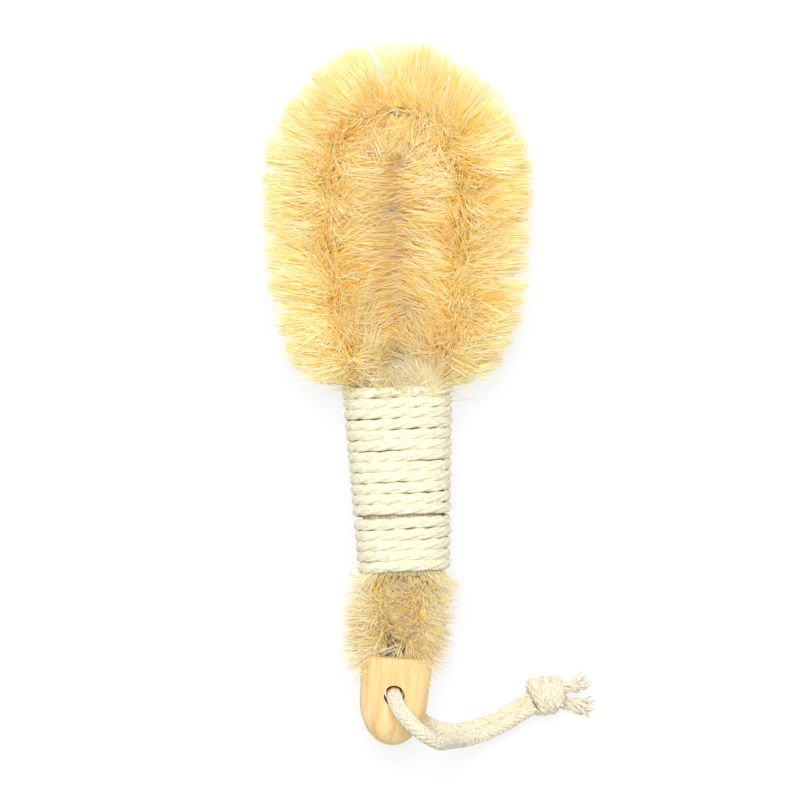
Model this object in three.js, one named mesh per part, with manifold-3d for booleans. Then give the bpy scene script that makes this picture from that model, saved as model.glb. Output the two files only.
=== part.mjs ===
// Bath brush with a twisted wire core, in millimetres, with +Z up.
// Two wires are twisted round each other, grip a row of plant-fibre bristles and are bent into a hairpin.
// The head points along +Y. A twine binding makes the grip, and a wooden cap closes the two wire ends.
// The origin is under the middle of the brush, on the surface that it lies on.
import * as THREE from "three";
import Module from "manifold-3d";

const wasm = await Module();
wasm.setup();
const { Manifold, Mesh } = wasm;

// Driving dimensions of the head
const HEAD_TOP = 120;
const BRISTLE_REACH = 23.4;
const RUN_HALF_SPACING = 22.5;
const FOOT_CUT = 0.5;
const CROWN_GAP = 5;

// Driving dimensions of the wire core
const WIRE_DIAMETER = 2;
const WIRE_GAP = 0.8;
const TWIST_PITCH = 12;
const CLEARANCE = 0.3;

// Driving dimensions of the grip
const GRIP_TOP = 2.2;
const GRIP_LENGTH = 63.1;
const GRIP_TOP_HALF_WIDTH = 19.3;
const GRIP_END_HALF_WIDTH = 16.2;
const GRIP_HALF_HEIGHT = 13.2;
const GRIP_LEAN = 2.4;
const TWINE_TURNS = 17;
const TWINE_GAP = 0.5;
const WIDE_GAP = 0.9;
const WIDE_GAP_TURN = 12;

// Driving dimensions of the tail tuft and the cap
const TAIL_REACH = 13.5;
const CAP_MOUTH = -89.6;
const CAP_END = -120;
const CAP_DIAMETER = 24.6;
const CAP_NOSE_LENGTH = 16;
const CAP_TILT = THREE.MathUtils.degToRad(-4.3);
const CROSS_HOLE_DIAMETER = 7.1;
const CROSS_HOLE_DEPTH = 12.8;

// Driving dimension of the cord
const CORD_DIAMETER = 5.6;

// Derived levels and radii
const AXIS_HEIGHT = BRISTLE_REACH - FOOT_CUT;
const CROWN_TOP = HEAD_TOP - BRISTLE_REACH;
const CROWN_CENTRE = CROWN_TOP - RUN_HALF_SPACING;
const GRIP_END = GRIP_TOP - GRIP_LENGTH;
const HELIX_RADIUS = (WIRE_DIAMETER + WIRE_GAP) / 2;
const CORE_RADIUS = HELIX_RADIUS + WIRE_DIAMETER / 2;
const CHANNEL_RADIUS = CORE_RADIUS + CLEARANCE + 0.15;
const HEAD_SLEEVE_RADIUS = CHANNEL_RADIUS + 1.5;
const TAIL_SLEEVE_RADIUS = CHANNEL_RADIUS + 1.3;
const STRAND_RADIUS = 1.25;
const STRAND_SPACING = (TWIST_PITCH * 4) / 31;
const STRAND_TURN = (2 * Math.PI * STRAND_SPACING) / TWIST_PITCH;
const PARTING = STRAND_RADIUS / 2 + 0.4;

const TWINE_PITCH = (GRIP_LENGTH - WIDE_GAP + TWINE_GAP) / TWINE_TURNS;
const TWINE_DIAMETER = TWINE_PITCH - TWINE_GAP;
const TWINE_SEAT = 0.5;
const FILLING_RADIUS = GRIP_HALF_HEIGHT - TWINE_DIAMETER - TWINE_SEAT;
const GRIP_TAPER = (GRIP_TOP_HALF_WIDTH - GRIP_END_HALF_WIDTH) / GRIP_LENGTH;
const LEG_COVER = 2;

const CAP_LENGTH = (CAP_MOUTH - CAP_END) / Math.cos(CAP_TILT);
const CAP_RADIUS = CAP_DIAMETER / 2;
const CAP_NOSE_RADIUS = CAP_RADIUS - 0.7;
const CAP_EDGE = 1.6;
const CAP_BORE_RADIUS = 2 * CORE_RADIUS + 0.4;
const CAP_BORE_DEPTH = 8.2;
const WIRE_SEAT_DEPTH = CAP_BORE_DEPTH - WIRE_DIAMETER / 2;
const LEG_SEAT = CAP_BORE_RADIUS - CORE_RADIUS - CLEARANCE;
const HOLE_X = CROSS_HOLE_DEPTH * Math.sin(CAP_TILT);
const HOLE_Y = CAP_MOUTH - CROSS_HOLE_DEPTH * Math.cos(CAP_TILT);
const CORD_RADIUS = CORD_DIAMETER / 2;

const UP = new THREE.Vector3(0, 0, 1);
const FLATNESS = 0.02;

/** A three.js geometry as a solid that can be joined or cut. */
function solidOf(geometry) {
  const position = geometry.getAttribute("position");
  const index = geometry.getIndex();
  const count = index ? index.count : position.count;
  const keys = new Map();
  const points = [];
  const corners = [];
  for (let i = 0; i < count; i++) {
    const vertex = index ? index.getX(i) : i;
    const xyz = [position.getX(vertex), position.getY(vertex), position.getZ(vertex)];
    const key = xyz.map((value) => Math.round(value * 1e4)).join();
    if (!keys.has(key)) {
      keys.set(key, points.length / 3);
      points.push(...xyz);
    }
    corners.push(keys.get(key));
  }
  const triangles = [];
  for (let i = 0; i < corners.length; i += 3) {
    const [a, b, c] = corners.slice(i, i + 3);
    if (a !== b && b !== c && c !== a) {
      triangles.push(a, b, c);
    }
  }
  const solid = new Manifold(new Mesh({
    numProp: 3,
    vertProperties: new Float32Array(points),
    triVerts: new Uint32Array(triangles),
  }));
  if (solid.volume() < 0) {
    throw new Error("a solid is inside out");
  }
  return solid;
}

/** A solid as a three.js geometry, with needless edges in its flat faces left out. */
function geometryOf(solid) {
  const mesh = solid.simplify(FLATNESS).getMesh();
  const geometry = new THREE.BufferGeometry();
  geometry.setAttribute("position", new THREE.BufferAttribute(new Float32Array(mesh.vertProperties), 3));
  geometry.setIndex(new THREE.BufferAttribute(new Uint32Array(mesh.triVerts), 1));
  geometry.computeVertexNormals();
  return geometry;
}

/** A regular outline with a given number of sides. */
function polygon(radius, sides) {
  const points = [];
  for (let i = 0; i < sides; i++) {
    const angle = (2 * Math.PI * i) / sides;
    points.push(new THREE.Vector2(radius * Math.cos(angle), radius * Math.sin(angle)));
  }
  return new THREE.Shape(points);
}

/** A closed tube of constant section along a curve. */
function tube(curve, radius, sides, steps) {
  return new THREE.ExtrudeGeometry(polygon(radius, sides), { steps, extrudePath: curve });
}

// The middle line of the hairpin, from the left wire end over the crown to the right wire end

/** How far the hand-wound grip and the tail lie to the right of the head's middle, at a given Y. */
function leanAt(y) {
  const share = y > GRIP_END ? (GRIP_TOP - y) / GRIP_LENGTH : (y - CAP_MOUTH) / (GRIP_END - CAP_MOUTH);
  return GRIP_LEAN * THREE.MathUtils.clamp(share, 0, 1);
}

/** Half the distance between the two legs inside the grip, at a given Y. */
function gripLegSpacing(y) {
  return edgeHalfSpacing(y) + FILLING_RADIUS - CHANNEL_RADIUS - LEG_COVER;
}

/** The points of one leg, from the crown down to the wire end in the cap. */
function legPoints(side) {
  const { lerp } = THREE.MathUtils;
  const middle = GRIP_TOP - GRIP_LENGTH / 2;
  const halfSpacings = [
    [RUN_HALF_SPACING, lerp(CROWN_CENTRE, GRIP_TOP, 0.2)],
    [RUN_HALF_SPACING * 0.93, lerp(CROWN_CENTRE, GRIP_TOP, 0.56)],
    [lerp(gripLegSpacing(GRIP_TOP), RUN_HALF_SPACING, 0.46), lerp(CROWN_CENTRE, GRIP_TOP, 0.83)],
    [gripLegSpacing(GRIP_TOP), GRIP_TOP - 2],
    [gripLegSpacing(middle), middle],
    [gripLegSpacing(GRIP_END), GRIP_END],
    [lerp(gripLegSpacing(GRIP_END), LEG_SEAT, 0.6), (GRIP_END + CAP_MOUTH) / 2],
    [LEG_SEAT, CAP_MOUTH],
  ];
  const points = halfSpacings.map(([halfSpacing, y]) => [side * halfSpacing + leanAt(y), y]);
  const seat = new THREE.Vector2(side * LEG_SEAT, -WIRE_SEAT_DEPTH).rotateAround(new THREE.Vector2(), CAP_TILT);
  return [...points, [seat.x, CAP_MOUTH + seat.y]];
}

function corePoints() {
  const crown = [];
  for (let degrees = 180; degrees >= 0; degrees -= 30) {
    const angle = THREE.MathUtils.degToRad(degrees);
    const x = RUN_HALF_SPACING * Math.cos(angle);
    crown.push([x, CROWN_CENTRE + RUN_HALF_SPACING * Math.sin(angle)]);
  }
  const points = [...legPoints(-1).reverse(), ...crown, ...legPoints(1)];
  return points.map(([x, y]) => new THREE.Vector3(x, y, AXIS_HEIGHT));
}

const core = new THREE.CatmullRomCurve3(corePoints(), false, "centripetal");
core.arcLengthDivisions = 1200;
const CORE_LENGTH = core.getLength();

/** The share of the middle line at which one leg passes a given Y. */
function stationAt(y, side) {
  let above = 0.5;
  let below = side > 0 ? 1 : 0;
  for (let i = 0; i < 40; i++) {
    const middle = (above + below) / 2;
    if (core.getPointAt(middle).y > y) {
      above = middle;
    } else {
      below = middle;
    }
  }
  return above;
}

/** A stretch of the middle line, from one share of it to another. */
class Stretch extends THREE.Curve {
  constructor(from, to) {
    super();
    this.from = from;
    this.to = to;
  }

  getPoint(t, target = new THREE.Vector3()) {
    return core.getPointAt(THREE.MathUtils.lerp(this.from, this.to, t), target);
  }
}

/** One of the two wires, which winds round the middle line. */
class TwistedWire extends THREE.Curve {
  constructor(phase) {
    super();
    this.phase = phase;
    this.arcLengthDivisions = 4000;
  }

  getPoint(t, target = new THREE.Vector3()) {
    const share = THREE.MathUtils.clamp(t, 0, 1);
    const point = core.getPointAt(share, target);
    const outward = UP.clone().cross(core.getTangentAt(share));
    const angle = (2 * Math.PI * share * CORE_LENGTH) / TWIST_PITCH + this.phase;
    point.addScaledVector(outward, HELIX_RADIUS * Math.cos(angle));
    return point.addScaledVector(UP, HELIX_RADIUS * Math.sin(angle));
  }
}

const WIRE_STEPS = Math.round((6 * CORE_LENGTH) / TWIST_PITCH);

// Bristles: strands that stand out from a sleeve of packed roots, which has a channel for the wires

/** One strand, from inside its sleeve to its tip. One that reaches the surface goes on to be cut to a foot. */
function strand(root, direction, start, reach) {
  const reachesSurface = root.z + reach * direction.z < 0;
  const length = (reachesSurface ? 2 : 1) * (reach - start);
  const geometry = new THREE.ConeGeometry(STRAND_RADIUS, length, 3, 1);
  geometry.translate(0, start + length / 2, 0);
  geometry.applyQuaternion(new THREE.Quaternion().setFromUnitVectors(new THREE.Vector3(0, 1, 0), direction));
  geometry.translate(root.x, root.y, root.z);
  return solidOf(geometry);
}

/** How far a strand may reach before it meets the parting between the two legs. */
function reachToParting(root, outward, across, fullReach) {
  if (across >= 0) {
    return fullReach;
  }
  let room = (Math.abs(root.x - leanAt(root.y)) - PARTING) / Math.max(Math.abs(outward.x), 1e-6);
  if (root.y > CROWN_CENTRE) {
    room = Math.min(room, 0.58 * RUN_HALF_SPACING);
  }
  return Math.min(fullReach, room / -across);
}

/** Strands on both sides of the wires at even stations down one leg, turning with the twist. */
function strandsAlong(from, to, start, fullReach, lean) {
  const strands = [];
  const side = Math.sign(to - from);
  const stations = Math.floor((Math.abs(to - from) * CORE_LENGTH) / STRAND_SPACING);
  for (let station = 0; station <= stations; station++) {
    const share = from + (side * station * STRAND_SPACING) / CORE_LENGTH;
    const turn = station * STRAND_TURN;
    const root = core.getPointAt(share);
    const forward = core.getTangentAt(share);
    const outward = UP.clone().cross(forward);
    const along = forward.multiplyScalar(side);
    for (const angle of [turn, turn + Math.PI]) {
      const across = Math.cos(angle) * Math.cos(lean);
      const reach = reachToParting(root, outward, across, fullReach);
      if (reach > start + 3) {
        const direction = outward.clone().multiplyScalar(across);
        direction.addScaledVector(UP, Math.sin(angle) * Math.cos(lean));
        direction.addScaledVector(along, Math.sin(lean));
        strands.push(strand(root, direction, start, reach));
      }
    }
  }
  return strands;
}

const SLEEVE_SIDES = 6;
const CHANNEL_SIDES = 8;

/** The sleeve of roots round a stretch of the middle line, and the channel through it. */
function sleeveAndChannel(from, to, radius, steps) {
  const past = (4 * Math.sign(to - from)) / CORE_LENGTH;
  return {
    sleeve: solidOf(tube(new Stretch(from, to), radius, SLEEVE_SIDES, steps)),
    channel: solidOf(tube(new Stretch(from - past, to + past), CHANNEL_RADIUS, CHANNEL_SIDES, steps + 2)),
  };
}

const floorCutter = new THREE.BoxGeometry(400, 400, 40).translate(0, 0, -20);

/** The bristles of one half of the head. */
function headBristles(side) {
  const from = 0.5 + (side * CROWN_GAP) / 2 / CORE_LENGTH;
  const to = stationAt(GRIP_TOP + 2.8, side);
  const { sleeve, channel } = sleeveAndChannel(from, to, HEAD_SLEEVE_RADIUS, 16);
  const start = CHANNEL_RADIUS + 0.5;
  const first = from + (side * 1.2) / CORE_LENGTH;
  const last = to - (side * 2.5) / CORE_LENGTH;
  const strands = strandsAlong(first, last, start, BRISTLE_REACH, 0);
  return Manifold.union([sleeve, ...strands]).subtract(channel).subtract(solidOf(floorCutter));
}

/** The short tuft on both legs, between the grip and the cap. */
function tailBristles() {
  const lean = THREE.MathUtils.degToRad(12);
  const start = CHANNEL_RADIUS + 0.4;
  const tufts = [];
  const channels = [];
  for (const side of [-1, 1]) {
    const from = stationAt(GRIP_END - 2.4, side);
    const to = stationAt(CAP_MOUTH + 1.2, side);
    const { sleeve, channel } = sleeveAndChannel(from, to, TAIL_SLEEVE_RADIUS, 5);
    const first = from + (side * 0.8) / CORE_LENGTH;
    const last = to - (side * 3.2) / CORE_LENGTH;
    tufts.push(sleeve, ...strandsAlong(first, last, start, TAIL_REACH, lean));
    channels.push(channel);
  }
  return Manifold.union(tufts).subtract(Manifold.union(channels));
}

// The grip: pressed fibres in the shape of a flattened round, under the turns of twine

/** Half the distance between the two rounded edges of the filling, at a given Y. */
function edgeHalfSpacing(y) {
  return GRIP_TOP_HALF_WIDTH - GRIP_HALF_HEIGHT - GRIP_TAPER * (GRIP_TOP - y);
}

/** A flattened round: two half circles joined by straight lines. */
function flattenedRound(halfSpacing, radius, segments) {
  const shape = new THREE.Shape();
  for (const [side, first] of [[1, -90], [-1, 90]]) {
    for (let i = 0; i <= segments; i++) {
      const angle = THREE.MathUtils.degToRad(first + (180 * i) / segments);
      const x = side * halfSpacing + radius * Math.cos(angle);
      const y = radius * Math.sin(angle);
      if (side === 1 && i === 0) {
        shape.moveTo(x, y);
      } else {
        shape.lineTo(x, y);
      }
    }
  }
  return shape;
}

/** The pressed fibres, which narrow towards the cap, with a channel for each leg of the wire. */
function gripFilling() {
  const top = GRIP_TOP + 0.8;
  const end = GRIP_END - 0.8;
  const shape = flattenedRound(edgeHalfSpacing(0), FILLING_RADIUS, 10);
  const geometry = new THREE.ExtrudeGeometry(shape, { depth: top - end, bevelEnabled: false });
  geometry.rotateX(Math.PI / 2).translate(0, top, AXIS_HEIGHT);
  const position = geometry.getAttribute("position");
  for (let i = 0; i < position.count; i++) {
    const x = position.getX(i);
    const shift = edgeHalfSpacing(position.getY(i)) - edgeHalfSpacing(0);
    position.setX(i, x + Math.sign(x) * shift + leanAt(position.getY(i)));
  }
  let filling = solidOf(geometry);
  for (const side of [-1, 1]) {
    const { channel } = sleeveAndChannel(stationAt(top, side), stationAt(end, side), CHANNEL_RADIUS, 9);
    filling = filling.subtract(channel);
  }
  return filling;
}

/** The binding: one twine that runs down the grip in even turns, with one wider gap. */
class Winding extends THREE.Curve {
  constructor() {
    super();
    this.arcLengthDivisions = 4000;
    this.firstTurn = 0.2;
    this.lastTurn = TWINE_TURNS - 0.2;
  }

  heightAt(turn) {
    const wide = THREE.MathUtils.smoothstep(turn, WIDE_GAP_TURN - 0.4, WIDE_GAP_TURN + 0.4);
    return GRIP_TOP - TWINE_DIAMETER / 2 - TWINE_PITCH * (turn - 0.5) - WIDE_GAP * wide;
  }

  getPoint(t, target = new THREE.Vector3()) {
    const turn = THREE.MathUtils.lerp(this.firstTurn, this.lastTurn, t);
    const y = this.heightAt(turn);
    this.roundTheGrip(turn, y, target);
    target.x += leanAt(y);
    return target;
  }

  /** A point of the winding as it would be on a grip that stands straight. */
  roundTheGrip(turn, y, target) {
    const halfSpacing = edgeHalfSpacing(y);
    const radius = FILLING_RADIUS + TWINE_SEAT + TWINE_DIAMETER / 2;
    const straight = 2 * halfSpacing;
    const round = Math.PI * radius;
    let way = (turn - Math.floor(turn)) * 2 * (straight + round) - straight / 2;
    if (way < 0) {
      return target.set(way + halfSpacing, y, AXIS_HEIGHT - radius);
    }
    if (way < round) {
      const angle = way / radius - Math.PI / 2;
      return target.set(halfSpacing + radius * Math.cos(angle), y, AXIS_HEIGHT + radius * Math.sin(angle));
    }
    way -= round;
    if (way < straight) {
      return target.set(halfSpacing - way, y, AXIS_HEIGHT + radius);
    }
    way -= straight;
    if (way < round) {
      const angle = way / radius + Math.PI / 2;
      return target.set(-halfSpacing + radius * Math.cos(angle), y, AXIS_HEIGHT + radius * Math.sin(angle));
    }
    return target.set(way - round - halfSpacing, y, AXIS_HEIGHT - radius);
  }
}

const winding = new Winding();
const TURN_STEPS = 18;
const TWINE_SIDES = 5;
const TWINE_STEPS = Math.round(TURN_STEPS * (winding.lastTurn - winding.firstTurn));

/** The least gap of the twine to itself, measured between points at least half a turn apart. */
function leastTwineGap() {
  const points = winding.getSpacedPoints(TWINE_STEPS * 2);
  let least = Infinity;
  for (let i = 0; i < points.length; i++) {
    for (let j = i + TURN_STEPS; j < points.length; j++) {
      least = Math.min(least, points[i].distanceTo(points[j]) - TWINE_DIAMETER);
    }
  }
  return least;
}

console.log("least gap of the twine to itself, mm:", leastTwineGap().toFixed(3));

// The wooden cap, turned about its own axis with its mouth at the origin

function capSolid() {
  const profile = [new THREE.Vector2(0, -CAP_LENGTH)];
  const noseBase = -CAP_LENGTH + CAP_NOSE_LENGTH;
  for (let i = 1; i <= 8; i++) {
    const angle = (Math.PI * i) / 16;
    profile.push(new THREE.Vector2(
      CAP_NOSE_RADIUS * Math.sin(angle),
      noseBase - CAP_NOSE_LENGTH * Math.cos(angle),
    ));
  }
  for (let i = 0; i <= 3; i++) {
    const angle = (Math.PI * i) / 6;
    profile.push(new THREE.Vector2(
      CAP_RADIUS - CAP_EDGE + CAP_EDGE * Math.cos(angle),
      -CAP_EDGE + CAP_EDGE * Math.sin(angle),
    ));
  }
  profile.push(new THREE.Vector2(CAP_BORE_RADIUS, 0));
  profile.push(new THREE.Vector2(CAP_BORE_RADIUS, -CAP_BORE_DEPTH));
  profile.push(new THREE.Vector2(0, -CAP_BORE_DEPTH));
  const body = new THREE.LatheGeometry(profile, 28);
  const radius = CROSS_HOLE_DIAMETER / 2;
  const hole = new THREE.CylinderGeometry(radius, radius, 2 * CAP_DIAMETER, 24);
  hole.rotateX(Math.PI / 2).translate(0, -CROSS_HOLE_DEPTH, 0);
  return solidOf(body).subtract(solidOf(hole));
}

// The cord: two strands that meet in the cross hole, a knot and two short ends

const FLOOR_LINE = CORD_RADIUS + 0.05;

const frontRoute = [
  [HOLE_X, HOLE_Y, AXIS_HEIGHT + CLEARANCE / 2],
  [HOLE_X, HOLE_Y, 31.2],
  [-0.6, -103.3, 36.3],
  [0.6, -105.8, 40.2],
  [3.4, -109.4, 42.9],
  [6.7, -112.7, 43.4],
  [10.2, -115.5, 41.9],
  [13.2, -117.3, 38.6],
  [15.4, -118.1, 34.1],
  [16.9, -118.4, 29],
  [18.4, -118.6, 24],
  [20.4, -118.8, 19.2],
  [23, -118.8, 14.9],
  [26.5, -118.3, 11.4],
  [30.5, -117.1, 9.1],
  [34.5, -115.3, 8.1],
  [38.7, -113.1, 8.1],
  [42.9, -110.4, 8.8],
  [47.2, -107.6, 9.5],
];

const backRoute = [
  [HOLE_X, HOLE_Y, AXIS_HEIGHT - CLEARANCE / 2],
  [HOLE_X, HOLE_Y, 14.2],
  [-0.3, -103.2, 9.4],
  [1.5, -105.6, 5.4],
  [4.6, -109, 3.2],
  [8.5, -112.9, FLOOR_LINE],
  [12.8, -115.6, FLOOR_LINE],
  [18, -116.8, FLOOR_LINE],
  [23.4, -116.3, FLOOR_LINE],
  [28.4, -115, FLOOR_LINE],
  [33.4, -113.2, FLOOR_LINE],
  [38, -110.9, FLOOR_LINE],
  [42.3, -108.2, FLOOR_LINE],
  [47, -105, 3.1],
];

const KNOT_CENTRE = new THREE.Vector3(51.2, -104.4, 6.4);

const frontEndRoute = [[55.7, -102.4, 8.8], [60.2, -101.6, 7.6], [66.2, -100.5, 4.6]];
const backEndRoute = [[55.7, -106.4, 4.2], [61.2, -108, FLOOR_LINE + 0.2], [68.2, -109, FLOOR_LINE]];

const CORD_SIDES = 10;

/** A stretch of cord along a hand-chosen route. */
function cordStretch(route, radius, steps) {
  const curve = new THREE.CatmullRomCurve3(route.map((point) => new THREE.Vector3(...point)));
  return tube(curve, radius, CORD_SIDES, steps);
}

const FRONT_STEPS = 30;
const BACK_STEPS = 26;
const END_STEPS = 4;
const END_RADIUS = CORD_RADIUS * 0.93;

/** The knot: two crossing turns of cord pulled tight, with a pocket for each stretch that enters it. */
function knotSolid() {
  const turnRadius = 3.8;
  const cordRadius = 3;
  const turns = [[-2.6, 20, 0], [2.4, -14, 8]];
  const loops = turns.map(([along, yaw, pitch]) => {
    const loop = new THREE.TorusGeometry(turnRadius, cordRadius, 8, 14);
    loop.rotateY(Math.PI / 2);
    loop.rotateY(THREE.MathUtils.degToRad(pitch)).rotateZ(THREE.MathUtils.degToRad(yaw));
    return solidOf(loop.translate(along, 0, 0));
  });
  const middle = solidOf(new THREE.SphereGeometry(turnRadius + 0.6, 10, 6));
  const routes = [frontRoute, backRoute, frontEndRoute, backEndRoute];
  const pockets = routes.map((route) => {
    const radius = CORD_RADIUS + CLEARANCE;
    const last = route === frontRoute || route === backRoute ? route.slice(-2) : route.slice(0, 2).reverse();
    const [from, to] = last.map((point) => new THREE.Vector3(...point));
    const end = to.clone().addScaledVector(to.clone().sub(from).normalize(), CLEARANCE);
    return solidOf(tube(new THREE.LineCurve3(from, end), radius, 12, 1));
  });
  let knot = Manifold.union([...loops, middle]).translate(KNOT_CENTRE.toArray());
  for (const pocket of pockets) {
    knot = knot.subtract(pocket);
  }
  return knot.subtract(solidOf(floorCutter));
}

// The finishes and the assembly

const finish = (color, roughness, metalness = 0) => ({ color, roughness, metalness });
const STEEL = finish(0x9a9c9e, 0.38, 0.9);
const FIBRE = finish(0xe8c98a, 0.85);
const PRESSED_FIBRE = finish(0xcdb07a, 0.9);
const TWINE = finish(0xf3eed6, 0.9);
const WOOD = finish(0xf0d39c, 0.55);
const COTTON = finish(0xf2ead4, 0.92);

const group = new THREE.Group();
group.name = "bath_brush";

/** Adds a named piece with its own material to a group. */
function place(name, geometry, look, parent = group) {
  const mesh = new THREE.Mesh(geometry, new THREE.MeshStandardMaterial(look));
  mesh.name = name;
  parent.add(mesh);
  return mesh;
}

place("core_wire_a", tube(new TwistedWire(0), WIRE_DIAMETER / 2, 5, WIRE_STEPS), STEEL);
place("core_wire_b", tube(new TwistedWire(Math.PI), WIRE_DIAMETER / 2, 5, WIRE_STEPS), STEEL);

place("head_bristles_right", geometryOf(headBristles(1)), FIBRE);
place("head_bristles_left", geometryOf(headBristles(-1)), FIBRE);
place("tail_bristles", geometryOf(tailBristles()), FIBRE);
place("grip_filling", geometryOf(gripFilling()), PRESSED_FIBRE);
place("binding_twine", tube(winding, TWINE_DIAMETER / 2, TWINE_SIDES, TWINE_STEPS), TWINE);

const capGroup = new THREE.Group();
capGroup.name = "cap_group";
capGroup.position.set(0, CAP_MOUTH, AXIS_HEIGHT);
capGroup.rotation.z = CAP_TILT;
group.add(capGroup);
place("end_cap", geometryOf(capSolid()), WOOD, capGroup);

const cordGroup = new THREE.Group();
cordGroup.name = "cord_group";
group.add(cordGroup);
place("cord_front_strand", cordStretch(frontRoute, CORD_RADIUS, FRONT_STEPS), COTTON, cordGroup);
place("cord_back_strand", cordStretch(backRoute, CORD_RADIUS, BACK_STEPS), COTTON, cordGroup);
place("cord_knot", geometryOf(knotSolid()), COTTON, cordGroup);
place("cord_end_front", cordStretch(frontEndRoute, END_RADIUS, END_STEPS), COTTON, cordGroup);
place("cord_end_back", cordStretch(backEndRoute, END_RADIUS, END_STEPS), COTTON, cordGroup);

export default group;
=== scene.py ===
"""Looks of a bath brush: plant fibre on twisted wire, a twine-bound grip, a wooden cap and a cord loop.

Lengths are worked out in millimetres and become metres when a mesh is made. The head points along +Y, the
cap lies at the -Y end and +Z is up.
"""

import logging
import math
from dataclasses import dataclass, field
from enum import Enum
from typing import Any, Optional, Sequence, Union

import bmesh
import bpy
import numpy as np
from mathutils import Matrix, Vector

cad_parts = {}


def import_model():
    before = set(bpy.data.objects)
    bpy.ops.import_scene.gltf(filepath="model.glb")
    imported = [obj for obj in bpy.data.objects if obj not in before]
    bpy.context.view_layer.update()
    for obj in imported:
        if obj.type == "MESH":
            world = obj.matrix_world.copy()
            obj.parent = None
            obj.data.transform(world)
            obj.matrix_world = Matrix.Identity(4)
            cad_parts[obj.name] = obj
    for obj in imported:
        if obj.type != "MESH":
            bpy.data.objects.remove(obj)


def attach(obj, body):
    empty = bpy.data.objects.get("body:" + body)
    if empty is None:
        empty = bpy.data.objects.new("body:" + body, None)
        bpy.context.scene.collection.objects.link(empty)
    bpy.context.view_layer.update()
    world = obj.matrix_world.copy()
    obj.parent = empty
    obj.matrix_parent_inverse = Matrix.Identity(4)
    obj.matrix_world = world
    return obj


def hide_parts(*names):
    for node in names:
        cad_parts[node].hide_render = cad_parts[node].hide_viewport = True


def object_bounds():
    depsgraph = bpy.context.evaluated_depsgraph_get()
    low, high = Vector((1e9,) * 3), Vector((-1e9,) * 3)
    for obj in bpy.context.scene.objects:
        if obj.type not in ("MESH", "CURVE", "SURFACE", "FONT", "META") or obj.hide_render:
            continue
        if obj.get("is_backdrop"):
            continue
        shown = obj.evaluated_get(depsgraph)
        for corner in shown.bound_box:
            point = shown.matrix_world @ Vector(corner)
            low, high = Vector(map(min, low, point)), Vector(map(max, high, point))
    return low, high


log = logging.getLogger("bath_brush")

MM = 0.001
BAKE_MAP = "OFBake"
UP = np.array([0.0, 0.0, 1.0])
FORWARD = np.array([0.0, 1.0, 0.0])
WHITE = (1.0, 1.0, 1.0, 1.0)
TINY = 1e-6

Array = np.ndarray
Colour = tuple[float, float, float, float]
Span = tuple[float, float]
Place = tuple[float, float, float]
Owner = Union[bpy.types.Material, bpy.types.World]


class Side(Enum):
    """The two legs of the hairpin."""

    LEFT = -1
    RIGHT = 1


class Body(Enum):
    """The two bodies that pieces ride on."""

    BRUSH = "brush"
    CORD = "hanging_cord"


class Slot(Enum):
    """The finishes named in the part's record."""

    WIRE = "galvanised_wire"
    FIBRE = "plant_fibre"
    FILLING = "pressed_fibre"
    TWINE = "twine"
    WOOD = "pale_wood"
    COTTON = "cotton_cord"


class Seed(Enum):
    """The seeds of the random draws."""

    CORD = 7
    TWINE = 5
    HEAD = 11
    TAIL = 13
    PRESSED = 17

    def draws(self) -> np.random.Generator:
        """Starts the draws of one sub-assembly."""
        return np.random.default_rng(self.value)


# Colour and shading


def screen(red: int, green: int, blue: int) -> Colour:
    """Turns a colour as it is seen on a screen into the linear values that shaders take.

    Args:
        red: The red level, 0 to 255.
        green: The green level, 0 to 255.
        blue: The blue level, 0 to 255.

    Returns:
        The linear colour, with full opacity.
    """
    levels = [level / 255 for level in (red, green, blue)]
    values = [level / 12.92 if level < 0.04045 else ((level + 0.055) / 1.055) ** 2.4 for level in levels]
    return values[0], values[1], values[2], 1.0


class Shade:
    """An output socket that takes part in plain arithmetic."""

    def __init__(self, board: "NodeBoard", socket: bpy.types.NodeSocket) -> None:
        """Keeps the socket and the board that it belongs to."""
        self.board = board
        self.socket = socket

    def _math(self, operation: str, first: "Level", second: "Level") -> "Shade":
        """Adds a Math node for one operation."""
        return self.board.node("ShaderNodeMath", {"operation": operation}, {0: first, 1: second})

    def __add__(self, other: "Level") -> "Shade":
        """Adds a level."""
        return self._math("ADD", self, other)

    def __radd__(self, other: "Level") -> "Shade":
        """Is added to a number."""
        return self._math("ADD", other, self)

    def __sub__(self, other: "Level") -> "Shade":
        """Takes a level away."""
        return self._math("SUBTRACT", self, other)

    def __rsub__(self, other: "Level") -> "Shade":
        """Is taken away from a number."""
        return self._math("SUBTRACT", other, self)

    def __mul__(self, other: "Level") -> "Shade":
        """Multiplies by a level."""
        return self._math("MULTIPLY", self, other)

    def __rmul__(self, other: "Level") -> "Shade":
        """Is multiplied by a number."""
        return self._math("MULTIPLY", other, self)

    def between(self, low: float, high: float) -> "Shade":
        """Rises smoothly from 0 at one level to 1 at another."""
        inputs = {"Value": self, "From Min": low, "From Max": high}
        return self.board.node("ShaderNodeMapRange", {"interpolation_type": "SMOOTHSTEP"}, inputs)


Level = Union[Shade, float]


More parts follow.
